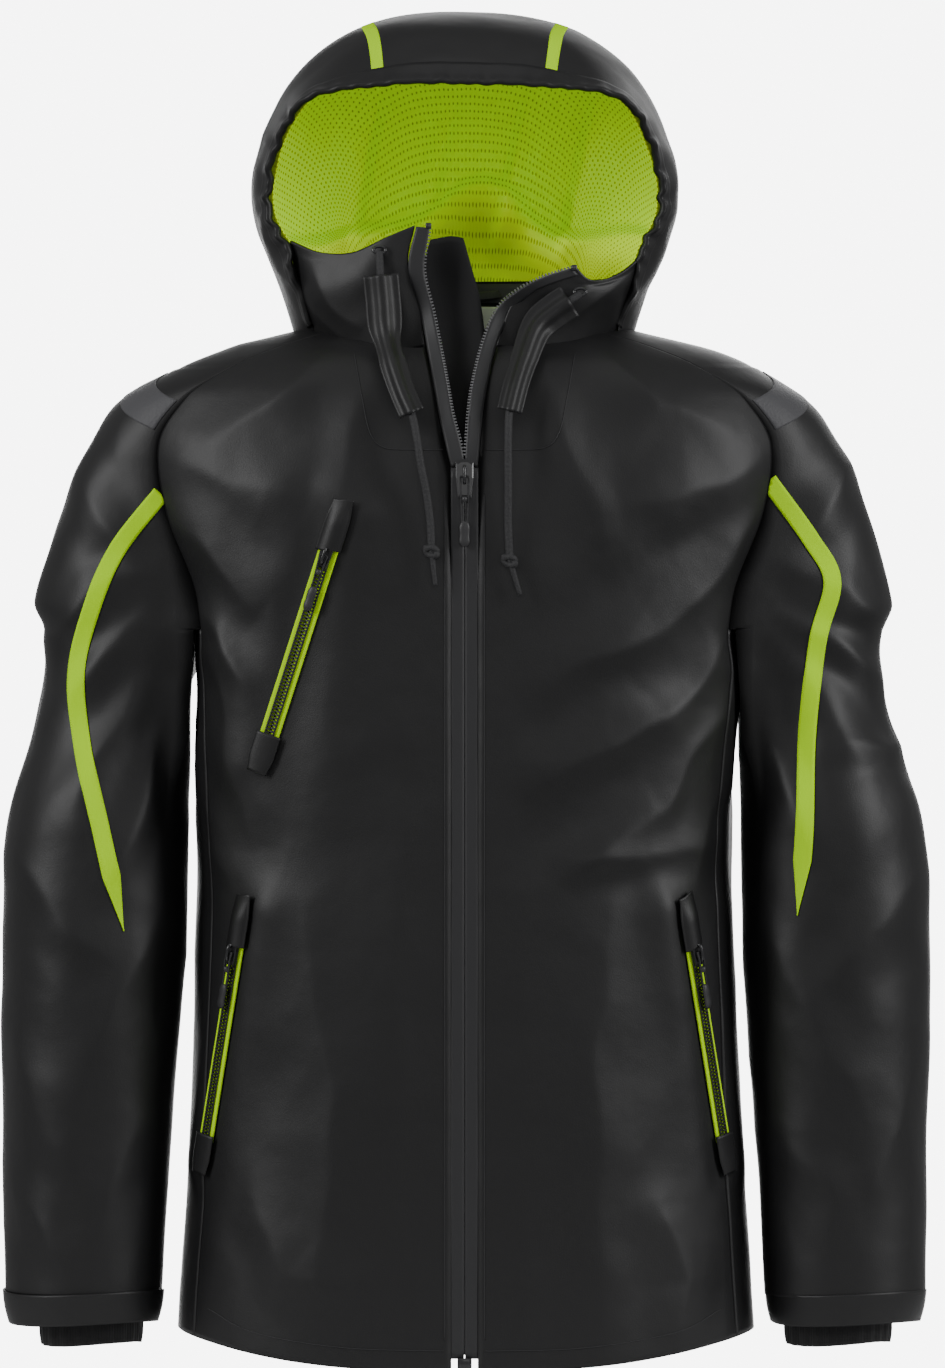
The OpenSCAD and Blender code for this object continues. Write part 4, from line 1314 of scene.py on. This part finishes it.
def pocket_zips(mats):
    for name, node, ends in (
        ("chest", "chest_zip", "chest_zip_ends"),
        ("right", "right_pocket_zip", "right_pocket_ends"),
        ("left", "left_pocket_zip", "left_pocket_ends"),
    ):
        parts = []
        z = np.linspace(-ZIP_LENGTH, 2, 60)
        for s in (-1, 1):
            x = np.array([0.5, 3, 6, 7.4, 7.9]) * s
            y = np.array([0.5, 0.3, 0.2, 0.35, 1.2])
            grid = points_of(x[:, None], y[:, None], z)
            parts.append(cloth("tape", placed(name, grid), mats["lime_tape"], 0.7, flip=s < 0))
        _, axes = POCKETS[name]
        line = placed(name, [(0, -0.6, v) for v in np.linspace(-ZIP_LENGTH + 2, 0, 40)])
        for s in (-1, 1):
            row = line + axes[0] * (s * 3.5)
            start = 0 if s > 0 else POCKET_PITCH / 2
            size = (3.3, 2.0, 1.75)
            parts.append(teeth_along("row", row, -s * axes[0], size, POCKET_PITCH, mats["black_teeth"],
                                     start))
            parts.append(tube_mesh("bead", row, 0.75, mats["black_teeth"], sides=6, out=axes[1]))
        obj = joined(name + "_zip_chain", parts)
        fitted(obj, node)
        # the garage over the top of the zip and the tab over its foot
        x = np.linspace(-10, 10, 25)[:, None]
        z = np.linspace(-8, 33, 30)[None, :]
        arch = -1.2 - 4.4 * np.clip(1 - (x / 9) ** 2, 0, 1) ** 0.8 * (1 - 0.75 * smooth(z, 12, 33))
        wide = 1 - 0.22 * smooth(z, 10, 33) ** 1.5
        grid = points_of(x * wide, arch, z + 1.5 * np.sin(x / 6))
        garage = cloth("garage", placed(name, grid), mats["shell"], 1.0)
        z = np.linspace(-ZIP_LENGTH - 26, -ZIP_LENGTH + 5, 16)[None, :]
        low = -1.3 - 1.9 * np.clip(1 - (x / 9.5) ** 2, 0, 1) ** 0.5
        wide = 1 - 0.2 * smooth(-z, ZIP_LENGTH + 12, ZIP_LENGTH + 26)
        grid = points_of(x * wide, low, z)
        tab = cloth("tab", placed(name, grid), mats["shell"], 1.0)
        obj = joined(name + "_zip_covers", [garage, tab])
        fitted(obj, ends)
        slider_top = placed(name, [(0, -2.2, -4)])[0]
        key = name if name == "chest" else name + "_pocket"
        zip_slider(key + "_zipper", slider_top, axes, 10, 18, name + "_zip_slider", key + "_slider", mats)
        pivot = placed(name, [(0, -5.6, -11.9)])[0]
        zip_pull(key + "_zip_tag", pivot, axes, 27, 17, 5.6, name + "_zip_pull", key + "_pull", mats)


def main_slider(mats):
    top = np.array([0, -214.0, MAIN_TOP + 2])
    pivot = np.array([0, -217.4, -146.7])
    zip_slider("main_zipper", top, np.eye(3), 13.5, 28, "main_zip_slider", "main_slider", mats)
    zip_pull("main_zip_tag", pivot, np.eye(3), 36, 17, 6.4, "main_zip_pull", "main_pull", mats)


# ---------------------------------------------------------------- hood cord ends

RIGHT_CORD = [(-65, -170, 25), (-64, -176, 8), (-62, -176, -12), (-60, -179, -36), (-55, -195, -58),
              (-48, -207, -80),
              (-40, -216, -99), (-36, -221, -118), (-33, -222.5, -138), (-29, -222.5, -158),
              (-26, -222, -180), (-25, -222, -199)]
LEFT_CORD = [(88, -172, -7), (80, -175, -12), (68, -176, -20), (55, -180, -32), (46, -193, -55),
             (39, -206, -77),
             (34, -215, -97), (33, -221, -118), (33, -222.5, -140), (33, -222.5, -162), (33, -222, -184),
             (34, -222, -206)]


def drawcords(mats):
    """The cords' free ends and knots, their casings and the eyelets. lean is how far a tail drifts."""
    for side, route, lean in ((RIGHT, RIGHT_CORD, 3), (LEFT, LEFT_CORD, 8)):
        word = word_for(side)
        path = curve_points(route, 70)
        curve = bpy.data.curves.new(word + "_cord", "CURVE")
        curve.dimensions = "3D"
        spline = curve.splines.new("POLY")
        spline.points.add(len(path) - 1)
        for point, p in zip(spline.points, path):
            point.co = (*(p * 0.001), 1)
        curve.bevel_depth = 0.003
        curve.bevel_resolution = 4
        curve.use_fill_caps = True
        curve.materials.append(mats["cord"])
        cord = bpy.data.objects.new(word + "_hood_cord", curve)
        bpy.context.scene.collection.objects.link(cord)
        fitted(cord, word + "_drawcord")
        foot = path[-1]
        # an overhand knot, then the cord's thinned end
        a = np.linspace(0, 2 * math.pi * 1.5, 60)
        twist = [4.0 * np.cos(a), -1.5 * np.sin(2 * a / 1.5) - 0.4, -4.6 + 3.2 * np.sin(a * 0.9)]
        knot = foot + np.stack(twist, -1)
        ball = tube_mesh("knot", knot, 2.5, mats["cord"], sides=10)
        end = foot + np.array([[0, -0.4, -3], [lean * 0.4, -0.3, -14], [lean, 0.4, -30]])
        tail = tube_mesh("tail", curve_points(end, 16), np.linspace(2.3, 1.7, 16), mats["cord"], sides=10)
        tie = joined(word + "_cord_knot", [ball, tail])
        fitted(tie, word + "_cord_end")
        # the tunnel that the cord runs through
        mid = curve_points(route[1:7], 50)
        u = np.linspace(-1, 1, 15)[:, None]
        width = 13.5 - 3 * smooth(-mid[None, :, 2], 20, 95)
        way = unit(np.gradient(mid, axis=0))
        across = points_of(-way[:, 2], 0.0, way[:, 0])
        grid = mid[None] + across[None] * (u * width)[..., None]
        hump = 1 / (1 + (u / 0.36) ** 4)
        grid[..., 1] += 2.2 - 6.2 * hump
        tunnel = cloth(word + "_tunnel", grid, mats["shell"], 0.9)
        fitted(tunnel, word + "_cord_tunnel")
    rings = []
    for route in (RIGHT_CORD, LEFT_CORD):
        a = np.linspace(0, 2 * math.pi, 40)
        centre = np.array(route[0], float) + np.array([0, 0, 2.0])
        loop = centre + points_of(4.6 * np.cos(a), 0.6 * np.sin(a), 4.6 * np.sin(a) * 0.6)
        rings.append(tube_mesh("ring", loop, 1.2, mats["plastic"], sides=8, caps=False))
    obj = joined("eyelet_rings", rings)
    fitted(obj, "cord_eyelets")


# ---------------------------------------------------------------- trim on the sleeves

RIGHT_STRIPE = [(-232, -158), (-265, -200), (-285, -245), (-297, -295), (-292, -350), (-276, -420),
                (-260, -492)]
LEFT_STRIPE = [(232, -148), (264, -192), (281, -225), (270, -270), (262, -340), (259, -420), (254, -480)]


def sleeve_trim(side, mats):
    word = word_for(side)
    line = LEFT_STRIPE if side == LEFT else RIGHT_STRIPE
    name = word + "_lime_stripe"
    stripe = strip_on(name, line, width=13.5, side=side, mat=mats["lime"], lift=0.5, count=160, taper=0.12)
    bend(stripe)
    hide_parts(word + "_sleeve_strip")


def shoulder_patch(side):
    """The reflective band over the point of the shoulder."""
    h = np.linspace(-0.97, 0.97, 110)[:, None]
    v = np.linspace(0, 1, 20)[None, :]
    rise = np.clip(1 - np.abs(h), 0, 1) ** 0.8
    low = -111 + 31 * rise
    high = -88 + 25 * rise
    z = low + (high - low) * v
    return head_at(h, z, side, 0.7)


def trims(mats):
    patches = []
    for side in (RIGHT, LEFT):
        patches.append(cloth("patch", shoulder_patch(side), mats["reflective"], 0.5, flip=side == RIGHT))
    obj = joined("reflective_patches", patches)
    fitted(obj, "shoulder_patches")
    for side in (RIGHT, LEFT):
        sleeve_trim(side, mats)


def studio():
    """A pale round floor under the jacket, a bright backdrop glow, soft lights, and the camera."""
    floor_z = -0.93
    radius = 0.84
    turns = [math.radians(a) for a in range(0, 360, 5)]
    ring = [(radius * math.cos(a), radius * math.sin(a), floor_z) for a in turns]
    mesh = bpy.data.meshes.new("floor")
    mesh.from_pydata(ring, [], [list(range(len(ring)))])
    floor = bpy.data.objects.new("floor", mesh)
    bpy.context.scene.collection.objects.link(floor)
    pale = material("pale_floor", (0.86, 0.86, 0.86), 0.9)
    add_bump(pale, "ShaderNodeTexNoise", 30, 0.02, 0.001)
    mesh.materials.append(pale)

    # soft light from all round, brighter straight behind the jacket
    world = bpy.data.worlds.new("studio")
    world.use_nodes = True
    tree = world.node_tree
    back = tree.nodes["Background"]
    back.inputs["Color"].default_value = (1, 1, 1, 1)
    coords = tree.nodes.new("ShaderNodeTexCoord")
    split = tree.nodes.new("ShaderNodeSeparateXYZ")
    glow = tree.nodes.new("ShaderNodeMapRange")
    node_input(glow, "From Min", 0.93)
    node_input(glow, "From Max", 0.985)
    node_input(glow, "To Min", 0.36)
    node_input(glow, "To Max", 7.0)
    tree.links.new(coords.outputs["Generated"], split.inputs[0])
    tree.links.new(split.outputs["Y"], glow.inputs["Value"])
    tree.links.new(glow.outputs["Result"], back.inputs["Strength"])
    bpy.context.scene.world = world

    def area(name, location, target, power, width, height):
        data = bpy.data.lights.new(name, "AREA")
        data.shape = "RECTANGLE"
        data.size = width
        data.size_y = height
        data.energy = power
        lamp = bpy.data.objects.new(name, data)
        lamp.location = location
        lamp.rotation_euler = (Vector(target) - Vector(location)).to_track_quat("-Z", "Y").to_euler()
        bpy.context.scene.collection.objects.link(lamp)

    area("key_left", (-2.3, -1.5, 0.9), (0, -0.1, -0.3), 74, 0.8, 1.8)
    area("key_right", (2.4, -1.3, 0.7), (0, -0.1, -0.3), 70, 0.8, 1.8)
    area("top", (0, -0.9, 2.2), (0, -0.1, -0.2), 9, 1.6, 1.2)
    area("behind", (0.6, 2.6, 1.2), (0, -0.1, -0.3), 20, 2.0, 1.6)
    area("front", (0.3, -3.6, 0.4), (0, 0, -0.35), 10, 1.4, 1.4)

    data = bpy.data.cameras.new("camera")
    camera = bpy.data.objects.new("camera", data)
    data.lens = 150
    data.sensor_fit = "VERTICAL"
    data.sensor_height = 24
    # far enough back for the view to take in this height at the jacket's front
    view_height = 1.045
    distance = view_height * data.lens / data.sensor_height
    camera.location = (0.006, -0.15 - distance, -0.3035)
    camera.rotation_euler = (math.radians(90), 0, 0)
    data.clip_end = 60
    bpy.context.scene.collection.objects.link(camera)
    bpy.context.scene.camera = camera


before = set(bpy.data.objects)
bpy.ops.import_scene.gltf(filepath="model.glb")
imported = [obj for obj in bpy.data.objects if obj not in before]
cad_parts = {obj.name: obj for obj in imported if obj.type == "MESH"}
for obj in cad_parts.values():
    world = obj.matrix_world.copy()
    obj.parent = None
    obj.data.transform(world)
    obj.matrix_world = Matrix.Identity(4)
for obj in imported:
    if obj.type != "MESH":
        bpy.data.objects.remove(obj)
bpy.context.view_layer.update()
mats = make_materials()
for side in (RIGHT, LEFT):
    seams(side, front_panel(side, mats), mats)
    side_panel(side, mats)
    sleeve(side, mats)
    cuffs(side, mats)
back_panel(mats)
hem_tape(mats)
pocket_bags(mats)
inner_flap(mats)
collars(mats)
loop_and_label(mats)
hood(mats)
lining(mats)
main_zip(mats)
main_slider(mats)
pocket_zips(mats)
drawcords(mats)
trims(mats)
studio()
